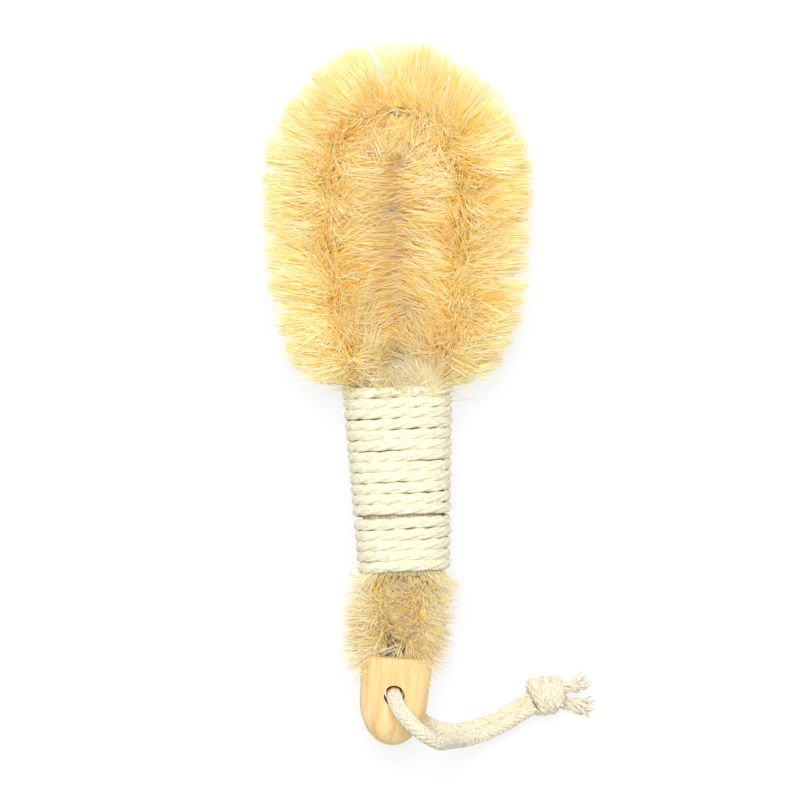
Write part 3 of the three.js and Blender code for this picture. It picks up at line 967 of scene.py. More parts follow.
@dataclass
class FibreBed:
    """A row of fibres that the twisted wires grip, and how fibres grow out of it."""

    DICE = 400
    ROW_STRIDE = 1000

    core: CoreLine
    random: np.random.Generator
    root: float = 1.6
    clump_length: float = 4.0
    clump_angle: float = math.radians(28)
    clump_pull: float = 0.46
    clump_stagger: float = 0.37
    clump_slide: float = 0.45
    clump_turn: float = 1.1
    clump_tilt: float = math.radians(7)
    calm_clump: float = 0.8
    loose_clump: float = 2.0
    bunch_length: float = 6.0
    bunch_stagger: float = 0.4
    bunch_tilt: float = math.radians(19)
    calm_bunch: float = 0.3
    loose_bunch: float = 0.7
    opening_length: float = 2.4
    opening_angle: float = math.radians(13)
    opening_share: float = 0.2
    opening_cull: float = 0.85
    upright_span: Span = (0.45, 0.9)
    unruly_span: Span = (0.3, 0.8)
    unruly_inward: float = 0.6
    dark_share: float = 0.34
    dark_step: float = 0.5
    pale_step: float = -0.26
    tone_spread: float = 0.12
    scatter: float = math.radians(13)
    unrest: float = math.radians(7)
    calm_unrest: float = 0.8
    loose_unrest: float = 0.5
    sway: float = 0.45
    bow: float = 0.2
    parting: float = 2.2
    parting_lift: float = 0.35
    shallowest: float = 0.2
    crossing: float = 6.0
    floor: float = 0.25
    floor_ease: float = 0.95
    dice: Array = field(init=False)

    def __post_init__(self) -> None:
        """Rolls the dice of every clump once."""
        self.dice = self.random.uniform(-1.0, 1.0, (4, self.DICE, self.DICE))

    def tufted_angles(self, way: Array, spread: float, loose: float) -> Array:
        """Angles round the wires: most fibres leave between the wires, and some lie anywhere.

        Args:
            way: The distances along the wires.
            spread: The spread of a tuft, in radians.
            loose: The share of fibres that lie anywhere.

        Returns:
            The angles, from outward towards up.
        """
        count = len(way)
        tuft = self.core.twist(way) + np.pi / 2 + np.pi * self.random.integers(0, 2, count)
        tufted = tuft + self.random.normal(0.0, spread, count)
        anywhere = self.random.uniform(0.0, 2 * np.pi, count)
        return np.where(self.random.random(count) < loose, anywhere, tufted)

    def upright(self, angle: Array) -> Array:
        """How nearly fibres point straight up, from 0 to 1."""
        return smooth(*self.upright_span, np.sin(angle))

    def unruly(self, angle: Array) -> Array:
        """How far tufts tilt their own way: everywhere above the inner side, and only high up outside."""
        inward = (1 - np.cos(angle)) / 2
        low, high = (level - self.unruly_inward * inward for level in self.unruly_span)
        return smooth(low, high, np.sin(angle))

    def between_tufts(self, way: Array, angle: Array) -> Array:
        """Picks most of the fibres in small openings between the tufts on top of the row.

        Args:
            way: How far along the wires each fibre is rooted.
            angle: Its angle round the wires.

        Returns:
            Which fibres are left out.
        """
        rows = np.floor(way / self.opening_length)
        cells = rows * self.ROW_STRIDE + np.floor(angle / self.opening_angle)
        _, cell = np.unique(cells, return_inverse=True)
        opened = self.random.random(cell.max() + 1) < self.opening_share
        return opened[cell] & (self.random.random(len(way)) < self.opening_cull * self.upright(angle))

    def two_toned(self, count: int) -> Array:
        """How far each fibre differs in shade: most are a little paler, and the rest clearly darker."""
        dark = self.random.random(count) < self.dark_share
        step = np.where(dark, self.dark_step, self.pale_step)
        return step + self.random.normal(0.0, self.tone_spread, count)

    def clumps(self, way: Array, angle: Array) -> Clumps:
        """Gathers fibres into clumps, by their place along and round the wires.

        Args:
            way: The distance of each root along the wires.
            angle: The angle of each fibre.

        Returns:
            The clump of each fibre.
        """
        turned = np.mod(angle, 2 * np.pi)
        rows = np.floor(way / self.clump_length).astype(int)
        stagger = self.clump_stagger * rows
        places = np.floor(turned / self.clump_angle + stagger).astype(int)
        slide, turn, tilt, tone = self.dice[:, rows % self.DICE, places % self.DICE]
        inward = np.cos(angle) < 0
        bunches = np.floor(way / self.bunch_length + self.bunch_stagger * inward).astype(int)
        shared = self.dice[2, self.DICE - 1 - bunches % self.DICE, inward.astype(int)] * self.bunch_tilt
        loose = self.unruly(angle)
        own = tilt * self.clump_tilt * (self.calm_clump + self.loose_clump * loose)
        return Clumps(
            way=(rows + 0.5 + self.clump_slide * slide) * self.clump_length,
            angle=(places + 0.5 + self.clump_turn * turn - stagger) * self.clump_angle,
            tilt=own + shared * (self.calm_bunch + self.loose_bunch * loose),
            tone=tone,
        )

    def grow(self, way: Array, angle: Array, reach: Array, lean: Array, clumps: Clumps) -> Array:
        """Grows fibres out of the wires.

        Args:
            way: The distance of each root along the wires.
            angle: The angle of each fibre, from outward towards up.
            reach: The distance of each tip from the middle of the wires.
            lean: How far each fibre leans towards the crown.
            clumps: The clump of each fibre.

        Returns:
            The points of each fibre, from root to tip.
        """
        count = len(way)
        middle, heading, outward = self.core.axes(way)
        crownward = -heading * np.sign(way - self.core.divide)[:, None]
        upright = self.upright(angle)
        restless = self.calm_unrest + self.loose_unrest * self.unruly(angle) + self.loose_unrest * upright
        uneven = self.random.normal(0.0, self.unrest, count) * restless
        turned = angle + self.random.normal(0.0, self.scatter, count) * upright
        own = self._direction(outward, crownward, turned, lean + clumps.tilt + uneven)
        shared = self._direction(outward, crownward, clumps.angle, lean + clumps.tilt)
        slide = heading * ((clumps.way - way) * self.clump_pull)[:, None]
        sway = self.random.normal(0.0, self.sway, (count, 3))
        bow = self.random.normal(0.0, self.bow, (count, 3))
        crossing = self.random.uniform(0.0, self.crossing, count)
        rings = []
        for share in FibreBatch.SHARES:
            direction = unit(own + self.clump_pull * share * (shared - own))
            place = middle + (self.root + (reach - self.root) * share)[:, None] * direction
            place = place + slide * share + sway * share**2 + bow * math.sin(math.pi * share)
            rings.append(self._kept_clear(place, middle, outward, crossing * share))
        return np.stack(rings, axis=1)

    @staticmethod
    def _direction(outward: Array, crownward: Array, angle: Array, lean: Array) -> Array:
        """The directions of fibres at given angles, leaning towards the crown."""
        across = (np.cos(angle) * np.cos(lean))[:, None] * outward
        upward = (np.sin(angle) * np.cos(lean))[:, None] * UP
        return across + upward + np.sin(lean)[:, None] * crownward

    def _kept_clear(self, place: Array, middle: Array, outward: Array, crossing: Array) -> Array:
        """Bends fibres away from the parting between the legs and from the surface below.

        Args:
            place: A point of each fibre.
            middle: The middle of the wires at its root.
            outward: The direction away from the parting there.
            crossing: How far the fibre may pass the parting.

        Returns:
            The points, moved where they were too near.
        """
        above = middle[:, 1] > self.core.crown_centre
        offset = np.abs(middle[:, 0] - self.core.lean_at(middle[:, 1]))
        straight = offset / np.maximum(np.abs(outward[:, 0]), self.shallowest)
        room = np.where(above, self.core.half_spacing, straight) + crossing
        inward = -np.sum((place - middle) * outward, axis=1)
        left = room - inward
        kept = np.where(left < self.parting, self.parting * np.exp(left / self.parting - 1), left)
        push = kept - left
        cleared = place + outward * push[:, None]
        cleared[:, 2] += np.sign(place[:, 2] - middle[:, 2]) * push * self.parting_lift
        eased = self.floor + self.floor_ease
        dip = np.minimum(cleared[:, 2] - eased, 0.0)
        lifted = self.floor + self.floor_ease * np.exp(dip / self.floor_ease)
        cleared[:, 2] = np.where(dip < 0, lifted, cleared[:, 2])
        return cleared


@dataclass
class HeadBristles:
    """The two halves of the head, which meet in a parting down the middle and a notch at the crown."""

    bed: FibreBed
    finish: bpy.types.Material
    fibres_per_side: int = 15000
    crossed_per_side: int = 6000
    packed_per_side: int = 9000
    crown_per_side: int = 1800
    thickness: float = 0.36
    thickness_spread: Span = (0.6, 1.2)
    dark_thickness: Span = (1.12, -0.4)
    thickness_limits: Span = (0.7, 1.15)
    reach: float = 23.4
    reach_at_sides: float = 1.03
    reach_at_crown: float = 0.04
    reach_at_corners: float = -0.07
    reach_inside: float = 0.12
    inside_span: Span = (0.5, 0.15)
    reach_unrest: float = 0.035
    stray_share: float = 0.02
    stray_reach: Span = (1.0, 1.07)
    short_share: float = 0.16
    short_reach: Span = (0.35, 0.92)
    broken_level: float = 0.4
    broken_reach: Span = (0.55, 0.97)
    arch_levels: Span = (72.0, 90.0)
    arch_sides: Span = (0.6, 0.3)
    arch_cut: float = 0.3
    root_unrest: float = 0.15
    tuft_spread: float = 0.5
    tuft_loose: float = 0.3
    crossed_spread: float = 0.62
    crossed_reach: Span = (0.5, 1.0)
    crossed_lean: float = math.radians(8)
    packed_reach: Span = (0.36, 0.66)
    packed_lean: float = math.radians(11)
    packed_shade: float = 0.2
    # Painted shade on packed fibres that point up, which show deep in the head between the tufts.
    packed_painted_shade: float = 0.34
    packed_thickness: float = 0.5
    packed_spread: Span = (0.7, 1.2)
    crown_length: float = 42.0
    crown_gather: float = 1.2
    crown_spread: float = 0.5
    lean_levels: tuple[float, ...] = (2.0, 14.0, 34.0, 60.0, 76.0)
    outer_leans: tuple[float, ...] = (40.0, 25.0, 9.0, 4.0, 0.0)
    inner_leans: tuple[float, ...] = (8.0, 14.0, 19.0, 17.0, 8.0)
    upright_lean: float = 0.65
    notch_half_width: float = 0.4
    notch_slant: float = math.radians(22)
    notch_slant_change: float = math.radians(4)
    notch_run: float = 16.0
    notch_gap: float = 0.3
    notch_flare: float = 0.04
    notch_cull: float = 0.97
    bare_left: float = -3.2
    bare_right: float = 4.2
    bare_low: float = 92.6
    bare_high: float = 99.4
    bare_clearance: float = 0.5
    bare_root: float = 3.0
    bare_cull: float = 0.96
    neck_start: float = 1.0
    neck_clearance: float = 0.6
    neck_cull: float = 0.94
    parted_span: Span = (6.0, 1.5)
    seam_x: float = -0.9
    seam_span: Span = (3.0, 0.5)
    neck_span: Span = (17.0, 4.0)
    neck_outside: float = 0.6
    straw_share: float = 0.08
    straw_at_seam: float = 0.45
    straw_at_neck: float = 0.6
    crown_levels: Span = (66.0, 92.0)
    shade: float = 0.32
    shade_outside: float = 0.1
    shade_at_crown: float = 0.04
    # Painted shade: how much darker inner fibres are painted towards the parting and along its seam, where
    # the halves meet.
    painted_shade_at_parting: float = 0.3
    painted_shade_at_seam: float = 0.6
    shade_of_clump: float = 0.16
    shade_of_fibre: float = 1.15

    def build(self) -> None:
        """Makes an outer, an inner, a packed and a crown piece for each half."""
        for side in Side:
            batch, outer = self._half(side)
            name = side.name.lower()
            pieces = {"outer": batch.picked(outer), "inner": batch.picked(~outer)}
            pieces["packed"] = self._packed(side)
            pieces["crown"] = self._crown(side)
            for part, fibres in pieces.items():
                piece = fibres.piece(f"head_fibres_{name}_{part}", self.finish)
                settle(piece, Body.BRUSH, Slot.FIBRE, f"head_bristles_{name}")

    def _ends(self, side: Side) -> tuple[float, float]:
        """Where the fibres of one half begin and end along the wires."""
        core = self.bed.core
        first = core.divide + side.value * self.notch_half_width
        return first, core.way_at(core.grip_top + self.neck_start, side)

    def _half(self, side: Side) -> tuple[FibreBatch, Array]:
        """Grows one half of the head: the long fibres, and short ones that lie across them.

        Args:
            side: The half.

        Returns:
            The fibres, and which of them point away from the parting.
        """
        random = self.bed.random
        long_way = np.linspace(*self._ends(side), self.fibres_per_side)
        crossed_way = random.uniform(*sorted(self._ends(side)), self.crossed_per_side)
        upward = np.pi / 2 + random.normal(0.0, self.crossed_spread, self.crossed_per_side)
        shifted = long_way + random.normal(0.0, self.root_unrest, len(long_way)) * side.value
        way = np.concatenate([shifted, crossed_way])
        tufted = self.bed.tufted_angles(long_way, self.tuft_spread, self.tuft_loose)
        angle = np.concatenate([tufted, upward])
        count = len(way)
        crossed = np.arange(count) >= self.fibres_per_side
        clumps = self.bed.clumps(way, angle)
        middle, _, outward = self.bed.core.axes(way)
        outer = (1 + np.cos(angle)) / 2
        reach = self._reach(outward, outer)
        lean = self._lean(way, middle, outer)
        broken = self.bed.upright(angle) * random.random(count) > self.broken_level
        reach = np.where(broken, reach * random.uniform(*self.broken_reach, count), reach)
        arched = smooth(*self.arch_levels, middle[:, 1]) * smooth(*self.arch_sides, outer)
        reach = reach * (1 - self.arch_cut * arched)
        reach = np.where(crossed, self.reach * random.uniform(*self.crossed_reach, count), reach)
        lean = np.where(crossed, lean + random.normal(0.0, self.crossed_lean, count), lean)
        points = self.bed.grow(way, angle, reach, lean, clumps)
        kept = ~(self._hiding(points, middle) | self.bed.between_tufts(way, angle))
        batch = self._shaded(points, middle, outer, clumps.tone)
        return batch.picked(kept), outer[kept] >= 0.5

    def _packed(self, side: Side) -> FibreBatch:
        """Grows the short packed fibres near the wires, which close the view into the head.

        Args:
            side: The half.

        Returns:
            The fibres, ready to be made.
        """
        random = self.bed.random
        count = self.packed_per_side
        way = random.uniform(*sorted(self._ends(side)), count)
        angle = random.uniform(0.0, 2 * np.pi, count)
        reach = self.reach * random.uniform(*self.packed_reach, count)
        lean = random.normal(0.0, self.packed_lean, count)
        points = self.bed.grow(way, angle, reach, lean, self.bed.clumps(way, angle))
        middle, _, _ = self.bed.core.axes(way)
        darkness = random.normal(self.packed_shade, self.packed_shade, count)
        # Packed fibres that point up show deep in the head between tufts, and are painted darker there as
        # painted shade.
        darkness = darkness + self.packed_painted_shade * self.bed.upright(angle)
        thickness = self.packed_thickness * random.uniform(*self.packed_spread, count)
        batch = FibreBatch(points, thickness, darkness, np.zeros(count, dtype=bool))
        return batch.picked(~self._hiding(points, middle))

    def _crown(self, side: Side) -> FibreBatch:
        """Grows more long fibres round the arch of the wires, where they would spread too thinly.

        Args:
            side: The half.

        Returns:
            The fibres, ready to be made.
        """
        random = self.bed.random
        first, _ = self._ends(side)
        gathered = random.random(self.crown_per_side) ** self.crown_gather
        way = first + side.value * self.crown_length * gathered
        angle = random.normal(0.0, self.crown_spread, len(way))
        middle, _, outward = self.bed.core.axes(way)
        outer = (1 + np.cos(angle)) / 2
        clumps = self.bed.clumps(way, angle)
        lean = self._lean(way, middle, outer)
        points = self.bed.grow(way, angle, self._reach(outward, outer), lean, clumps)
        batch = self._shaded(points, middle, outer, clumps.tone)
        return batch.picked(~self._in_the_notch(points))

    def _hiding(self, points: Array, middle: Array) -> Array:
        """Picks the fibres that would hide the bare wire, the notch or the first turn of the twine."""
        above = self._over_the_wire(points, middle) | self._in_the_notch(points)
        return above | self._over_the_twine(points)

    def _over_the_wire(self, points: Array, middle: Array) -> Array:
        """Picks the fibres that would hide the short bare stretch of wire at the crown.

        Args:
            points: The points of each fibre.
            middle: The middle of the wires at its root.

        Returns:
            Which fibres grow from the top of that stretch or pass above it.
        """
        x, y, z = np.moveaxis(FibreBatch.beyond_roots(points), 2, 0)
        height = self.bed.core.height
        above = (y > self.bare_low) & (y < self.bare_high) & (z > height + self.bare_clearance)
        passing = (self._across(x) & above).any(axis=1)
        rooted = self._across(middle[:, 0]) & (middle[:, 1] > self.bare_low)
        rising = rooted & (points[:, 1, 2] > height + self.bare_root)
        return (passing | rising) & (self.bed.random.random(len(points)) < self.bare_cull)

    def _across(self, x: Array) -> Array:
        """Picks the places that lie between the two ends of the bare wire."""
        return (x > self.bare_left) & (x < self.bare_right)

    def _over_the_twine(self, points: Array) -> Array:
        """Picks the fibres that would hang over the first turn of the binding."""
        low = FibreBatch.beyond_roots(points)[:, :, 1] < self.bed.core.grip_top + self.neck_clearance
        return low.any(axis=1) & (self.bed.random.random(len(points)) < self.neck_cull)

    def _in_the_notch(self, points: Array) -> Array:
        """Picks the fibres that would close the slanted gap above the bare wire."""
        x, y, _ = np.moveaxis(FibreBatch.beyond_roots(points), 2, 0)
        up = y - self.bare_high
        gap = np.abs(x - self.bed.core.notch + up * math.tan(self.notch_slant))
        inside = (up > 0) & (gap < self.notch_gap + self.notch_flare * up)
        return inside.any(axis=1) & (self.bed.random.random(len(points)) < self.notch_cull)

    def _reach(self, outward: Array, outer: Array) -> Array:
        """How far fibres reach: trimmed outside, a little longer inside, with short and stray ones."""
        random = self.bed.random
        count = len(outward)
        turn = np.arctan2(np.abs(outward[:, 0]), outward[:, 1])
        top = np.clip(outward[:, 1], 0.0, 1.0) ** 2
        corners = np.sin(2 * turn) ** 2
        trim = self.reach_at_sides + self.reach_at_crown * top + self.reach_at_corners * corners
        inside = 1 + self.reach_inside * smooth(*self.inside_span, outer)
        uneven = 1 - np.abs(random.normal(0.0, self.reach_unrest, count))
        chance = random.random(count)
        uneven = np.where(chance < self.stray_share, random.uniform(*self.stray_reach, count), uneven)
        uneven = np.where(chance > 1 - self.short_share, random.uniform(*self.short_reach, count), uneven)
        return self.reach * trim * inside * uneven

    def _lean(self, way: Array, middle: Array, outer: Array) -> Array:
        """How far fibres lean towards the crown: most at the neck, and away from the notch at the crown."""
        outside, inside = (
            np.radians(np.interp(middle[:, 1], self.lean_levels, leans))
            for leans in (self.outer_leans, self.inner_leans)
        )
        past = way - self.bed.core.divide
        slant = np.where(past < 0, -self.notch_slant, self.notch_slant - self.notch_slant_change)
        parted = slant * np.clip(1 - np.abs(past) / self.notch_run, 0, 1)
        upright = 1 - np.abs(2 * outer - 1)
        return (inside + (outside - inside) * outer) * (1 - self.upright_lean * upright) + parted * outer

    def _shaded(self, points: Array, middle: Array, outer: Array, tone: Array) -> FibreBatch:
        """Gives each fibre its thickness and shade, with painted shade on inner fibres towards the parting
        and along its seam.

        Args:
            points: The points of each fibre.
            middle: The middle of the wires at its root.
            outer: How far it points away from the parting.
            tone: The tone of its clump, from pale to dark.

        Returns:
            The fibres, ready to be made.
        """
        random = self.bed.random
        count = len(points)
        tip_x = points[:, -1, 0]
        parted = smooth(*self.parted_span, np.abs(tip_x)) * (1 - outer)
        seam = smooth(*self.seam_span, np.abs(tip_x - self.seam_x)) * (1 - outer)
        neck = smooth(*self.neck_span, middle[:, 1]) * (1 - self.neck_outside * outer)
        dull = self.straw_share + self.straw_at_seam * seam + self.straw_at_neck * neck
        straw = random.random(count) < dull
        outside = self.shade_outside + self.shade_at_crown * smooth(*self.crown_levels, middle[:, 1])
        # Inner fibres towards the parting, and more along its seam, are painted darker: painted shade where
        # the two halves meet.
        darkness = self.shade + outside * outer + self.painted_shade_at_parting * parted + self.painted_shade_at_seam * seam
        darkness = darkness + self.shade_of_clump * tone + self.shade_of_fibre * self.bed.two_toned(count)
        plain, change = self.dark_thickness
        thinned = np.clip(plain + change * darkness, *self.thickness_limits)
        thickness = self.thickness * random.uniform(*self.thickness_spread, count) * thinned
        return FibreBatch(points, thickness, darkness, straw)


@dataclass
class TailBristles:
    """The short tuft between the grip and the cap, combed down towards the cap."""

    bed: FibreBed
    finish: bpy.types.Material
    fibres_per_leg: int = 5000
    first_gap: float = -0.5
    last_gap: float = 0.8
    thickness: float = 0.34
    thickness_spread: Span = (0.65, 1.2)
    tuft_spread: float = 0.8
    tuft_loose: float = 0.55
    lean_levels: tuple[float, ...] = (-90.0, -84.0, -74.0, -66.0, -61.0)
    leans: tuple[float, ...] = (-14.0, -8.0, -4.0, -8.0, -20.0)
    lean_spread: float = math.radians(24)
    reach: float = 14.0
    left_extra: float = 1.5
    reach_levels: Span = (-88.0, -61.0)
    reach_extra: Span = (2.6, -1.0)
    reach_unrest: float = 0.06
    short_share: float = 0.5
    short_reach: Span = (0.4, 0.95)
    thin_level: float = -69.0
    thin_sides: float = 0.5
    thin_share: float = 0.7
    bare_top: float = -82.0
    bare_left: float = -4.4
    bare_right: float = 2.6
    bare_slope: float = 0.6
    bare_drop: float = 3.0
    bare_clearance: float = 0.6
    bare_cull: float = 0.96
    straw_share: float = 0.55
    straw_at_sides: float = 0.4
    shade: float = 0.62
    shade_at_sides: float = -0.1
    shade_of_clump: float = 0.15
    shade_of_fibre: float = 1.3

    def build(self) -> None:
        """Makes one piece for both legs."""
        joined = FibreBatch.joined([self._leg(side) for side in Side])
        settle(joined.piece("tail_fibres", self.finish), Body.BRUSH, Slot.FIBRE, "tail_bristles")

    def _leg(self, side: Side) -> FibreBatch:
        """Grows the tuft on one leg, and leaves the wires bare above the mouth of the cap.

        Args:
            side: The leg.

        Returns:
            The fibres, ready to be made.
        """
        core = self.bed.core
        random = self.bed.random
        count = self.fibres_per_leg
        first = core.way_at(core.grip_end + self.first_gap, side)
        last = core.way_at(core.cap_mouth + self.last_gap, side)
        way = np.linspace(first, last, count)
        angle = self.bed.tufted_angles(way, self.tuft_spread, self.tuft_loose)
        clumps = self.bed.clumps(way, angle)
        level = core.axes(way)[0][:, 1]
        sides = np.abs(np.cos(angle))
        lean = np.radians(np.interp(level, self.lean_levels, self.leans))
        lean = lean + random.normal(0.0, self.lean_spread, count)
        longest = self.reach + self.left_extra * (side is Side.LEFT)
        longest = longest + np.interp(level, self.reach_levels, self.reach_extra)
        reach = longest * (1 - np.abs(random.normal(0.0, self.reach_unrest, count)))
        short = random.random(count) < self.short_share
        reach = np.where(short, reach * random.uniform(*self.short_reach, count), reach)
        points = self.bed.grow(way, angle, reach, lean, clumps)
        upper = (level > self.thin_level) & (sides > self.thin_sides)
        thinned = upper & (random.random(count) < self.thin_share)
        kept = ~(self._over_the_wires(points) | thinned)
        straw = random.random(count) < self.straw_share + self.straw_at_sides * sides
        darkness = self.shade + self.shade_at_sides * sides + self.shade_of_clump * clumps.tone
        darkness = darkness + self.shade_of_fibre * self.bed.two_toned(count)
        thickness = self.thickness * random.uniform(*self.thickness_spread, count)
        return FibreBatch(points, thickness, darkness, straw).picked(kept)

    def _over_the_wires(self, points: Array) -> Array:
        """Picks the fibres that would hide the bare wires in front of the cap."""
        x, y, z = np.moveaxis(FibreBatch.beyond_roots(points), 2, 0)
        slanted = self.bare_top + self.bare_slope * (self.bare_right - x) - self.bare_drop
        across = (x > self.bare_left) & (x < self.bare_right)
        hiding = across & (y < slanted) & (z > self.bed.core.height + self.bare_clearance)
        return hiding.any(axis=1) & (self.bed.random.random(len(points)) < self.bare_cull)


class GripEnd(Enum):
    """The two ends of the grip, and the way that fibres leave them along Y."""

    NECK = 1
    TAIL = -1


@dataclass(frozen=True)
class Flare:
    """How fibres leave one end of the grip.

    The pairs for straw, shade and kept hold a value for the middle of the grip and one for its edges.
    """

    end: GripEnd
    right: float
    length_range: Span
    flare: float
    rise: float
    mess: float
    straw: Span
    shade: Span
    kept: Span
    fan_share: float


NECK_FLARE = Flare(
    end=GripEnd.NECK,
    right=0.7,
    length_range=(8.0, 19.0),
    flare=0.5,
    rise=1.0,
    mess=0.5,
    straw=(0.95, 0.95),
    shade=(0.26, 0.26),
    kept=(1.0, 1.0),
    fan_share=0.26,
)
TAIL_FLARE = Flare(
    end=GripEnd.TAIL,
    right=1.0,
    length_range=(3.0, 15.0),
    flare=1.1,
    rise=1.1,
    mess=0.14,
    straw=(0.7, 0.98),
    shade=(0.8, 0.15),
    kept=(0.06, 1.0),
    fan_share=0.0,
)


@dataclass
class PressedFibres:
    """Pale fibres that run under the binding and come out at its two ends, most of them at the edges."""

    core: CoreLine
    random: np.random.Generator
    finish: bpy.types.Material
    edge_half_spacing: float = 6.0
    radius: float = 9.4
    inner_share: float = 0.25
    side_reach: float = 13.0
    edge_span: Span = (4.0, 12.0)
    middle_length: float = 0.5
    overlap: float = 2.5
    under: float = 0.3
    fibres_per_end: int = 3000
    thickness: float = 0.32
    thickness_spread: Span = (0.65, 1.2)
    shade_spread: float = 0.38
    bow: float = 2.6
    straight_share: float = 0.4
    fan_turn: float = math.radians(-6)
    fan_width: float = math.radians(34)
    fan_rise: Span = (0.1, 0.6)
    fan_bow: float = 0.3
    fan_middle: float = 10.6
    fan_height: float = 8.4
    fan_spread: float = 1.0

    def build(self) -> None:
        """Makes one piece for each end of the grip."""
        for flare in (NECK_FLARE, TAIL_FLARE):
            piece = self._flared(flare).piece(f"pressed_fibres_{flare.end.name.lower()}", self.finish)
            settle(piece, Body.BRUSH, Slot.FIBRE)

    def _flared(self, flare: Flare) -> FibreBatch:
        """Fibres that leave one end of the grip and flare out.

        Args:
            flare: The end of the grip, and how they leave it.

        Returns:
            The fibres, ready to be made.
        """
        random = self.random
        count = self.fibres_per_end
        rim = self.core.grip_top if flare.end is GripEnd.NECK else self.core.grip_end
        level = rim - flare.end.value * self.overlap
        spacing = self.core.narrowed(self.edge_half_spacing, level)
        turn = random.uniform(-self.under * np.pi, (1 + self.under) * np.pi, count)
        out = self.radius * np.sqrt(random.uniform(self.inner_share, 1.0, count))
        x = random.uniform(-1.0, flare.right, count) * spacing + out * np.cos(turn)
        z = out * np.sin(turn)
        edge = smooth(*self.edge_span, np.abs(x))
        shortest, longest = flare.length_range
        longer = self.middle_length + (1 - self.middle_length) * edge
        length = shortest + (longest - shortest) * random.random(count) * longer
        levels = np.full(count, level)
        start = np.stack([x + float(self.core.lean_at(level)), levels, z + self.core.height], axis=1)
        onward = np.full(count, float(flare.end.value))
        spread = np.stack([flare.flare * x / self.side_reach, onward, flare.rise * z / self.radius], axis=1)
        spread = spread + random.normal(0.0, flare.mess, (count, 3))
        bow = random.normal(0.0, self.bow * flare.mess, (count, 3))
        if flare.fan_share:
            fan = random.random((count, 1)) < flare.fan_share
            spread = np.where(fan, self._fan(), spread)
            bow = np.where(fan, self.fan_bow * bow, bow)
            gathered = np.array([self.fan_middle, level, self.fan_height + self.core.height])
            start = np.where(fan, gathered + random.normal(0.0, self.fan_spread, (count, 3)), start)
        rings = []
        for share in FibreBatch.SHARES:
            sideways = self.straight_share + (1 - self.straight_share) * share
            run = unit(spread) * np.array([sideways, 1.0, sideways]) * (length * share)[:, None]
            rings.append(start + run + bow * math.sin(math.pi * share))
        straw = random.random(count) < self._towards(flare.straw, edge)
        darkness = random.normal(self._towards(flare.shade, edge), self.shade_spread, count)
        thickness = self.thickness * random.uniform(*self.thickness_spread, count)
        kept = random.random(count) < self._towards(flare.kept, edge)
        return FibreBatch(np.stack(rings, axis=1), thickness, darkness, straw).picked(kept)

    def _fan(self) -> Array:
        """Directions of the fibres that fan out beside the parting at the neck."""
        turned = self.random.normal(self.fan_turn, self.fan_width, self.fibres_per_end)
        rise = self.random.uniform(*self.fan_rise, self.fibres_per_end)
        return np.stack([np.sin(turned), np.cos(turned), rise], axis=1)

    @staticmethod
    def _towards(pair: Span, edge: Array) -> Array:
        """Goes from the first value of a pair in the middle to its second at the edges."""
        return pair[0] + (pair[1] - pair[0]) * edge


# The grip


@dataclass
class GripFilling:
    """The packed fibres under the binding: a flattened round that narrows towards the cap."""

    ON_THE_MIDDLE = 1e-7

    core: CoreLine
    finish: FillingFinish
    edge_half_spacing: float = 6.1
    radius: float = 9.5
    overhang: float = 0.8
    steps: int = 16
    segments: int = 48

    def build(self) -> None:
        """Makes the filling by extruding its outline down the grip."""
        shape = bmesh.new()
        outline = bmesh.ops.create_circle(shape, segments=self.segments, radius=self.radius * MM)["verts"]
        bmesh.ops.rotate(shape, verts=outline, matrix=Matrix.Rotation(math.pi / 2, 3, "X"))
        top = self.core.grip_top + self.overhang
        end = self.core.grip_end - self.overhang
        self._shift(shape, outline, self._spacing(top))
        bmesh.ops.translate(shape, verts=outline, vec=Vector((0, top, self.core.height)) * MM)
        edges = shape.edges[:]
        drop = (end - top) / self.steps
        for step in range(1, self.steps + 1):
            level = top + drop * step
            grown = bmesh.ops.extrude_edge_only(shape, edges=edges)["geom"]
            verts = [item for item in grown if isinstance(item, bmesh.types.BMVert)]
            edges = [item for item in grown if isinstance(item, bmesh.types.BMEdge)]
            before = float(self.core.lean_at(level - drop))
            middle = Matrix.Translation(Vector((-before * MM, 0, 0)))
            bmesh.ops.transform(shape, matrix=middle, verts=verts)
            self._shift(shape, verts, self._spacing(level) - self._spacing(level - drop))
            vec = Vector((float(self.core.lean_at(level)), drop, 0)) * MM
            bmesh.ops.translate(shape, verts=verts, vec=vec)
        bmesh.ops.holes_fill(shape, edges=shape.edges[:], sides=0)
        bmesh.ops.recalc_face_normals(shape, faces=shape.faces[:])
        mesh = mesh_of("pressed_filling", shape)
        piece = finish_piece("pressed_filling", mesh, self.finish.material())
        settle(piece, Body.BRUSH, Slot.FILLING, "grip_filling")

    def _spacing(self, y: float) -> float:
        """Half the distance between the two rounded edges at a given Y."""
        return self.core.narrowed(self.edge_half_spacing, y)

    @classmethod
    def _shift(cls, shape: bmesh.types.BMesh, verts: list[bmesh.types.BMVert], distance: float) -> None:
        """Moves the two halves of an outline apart."""
        for sign in (-1, 1):
            half = [vert for vert in verts if vert.co.x * sign > cls.ON_THE_MIDDLE]
            bmesh.ops.translate(shape, verts=half, vec=Vector((sign * distance * MM, 0, 0)))


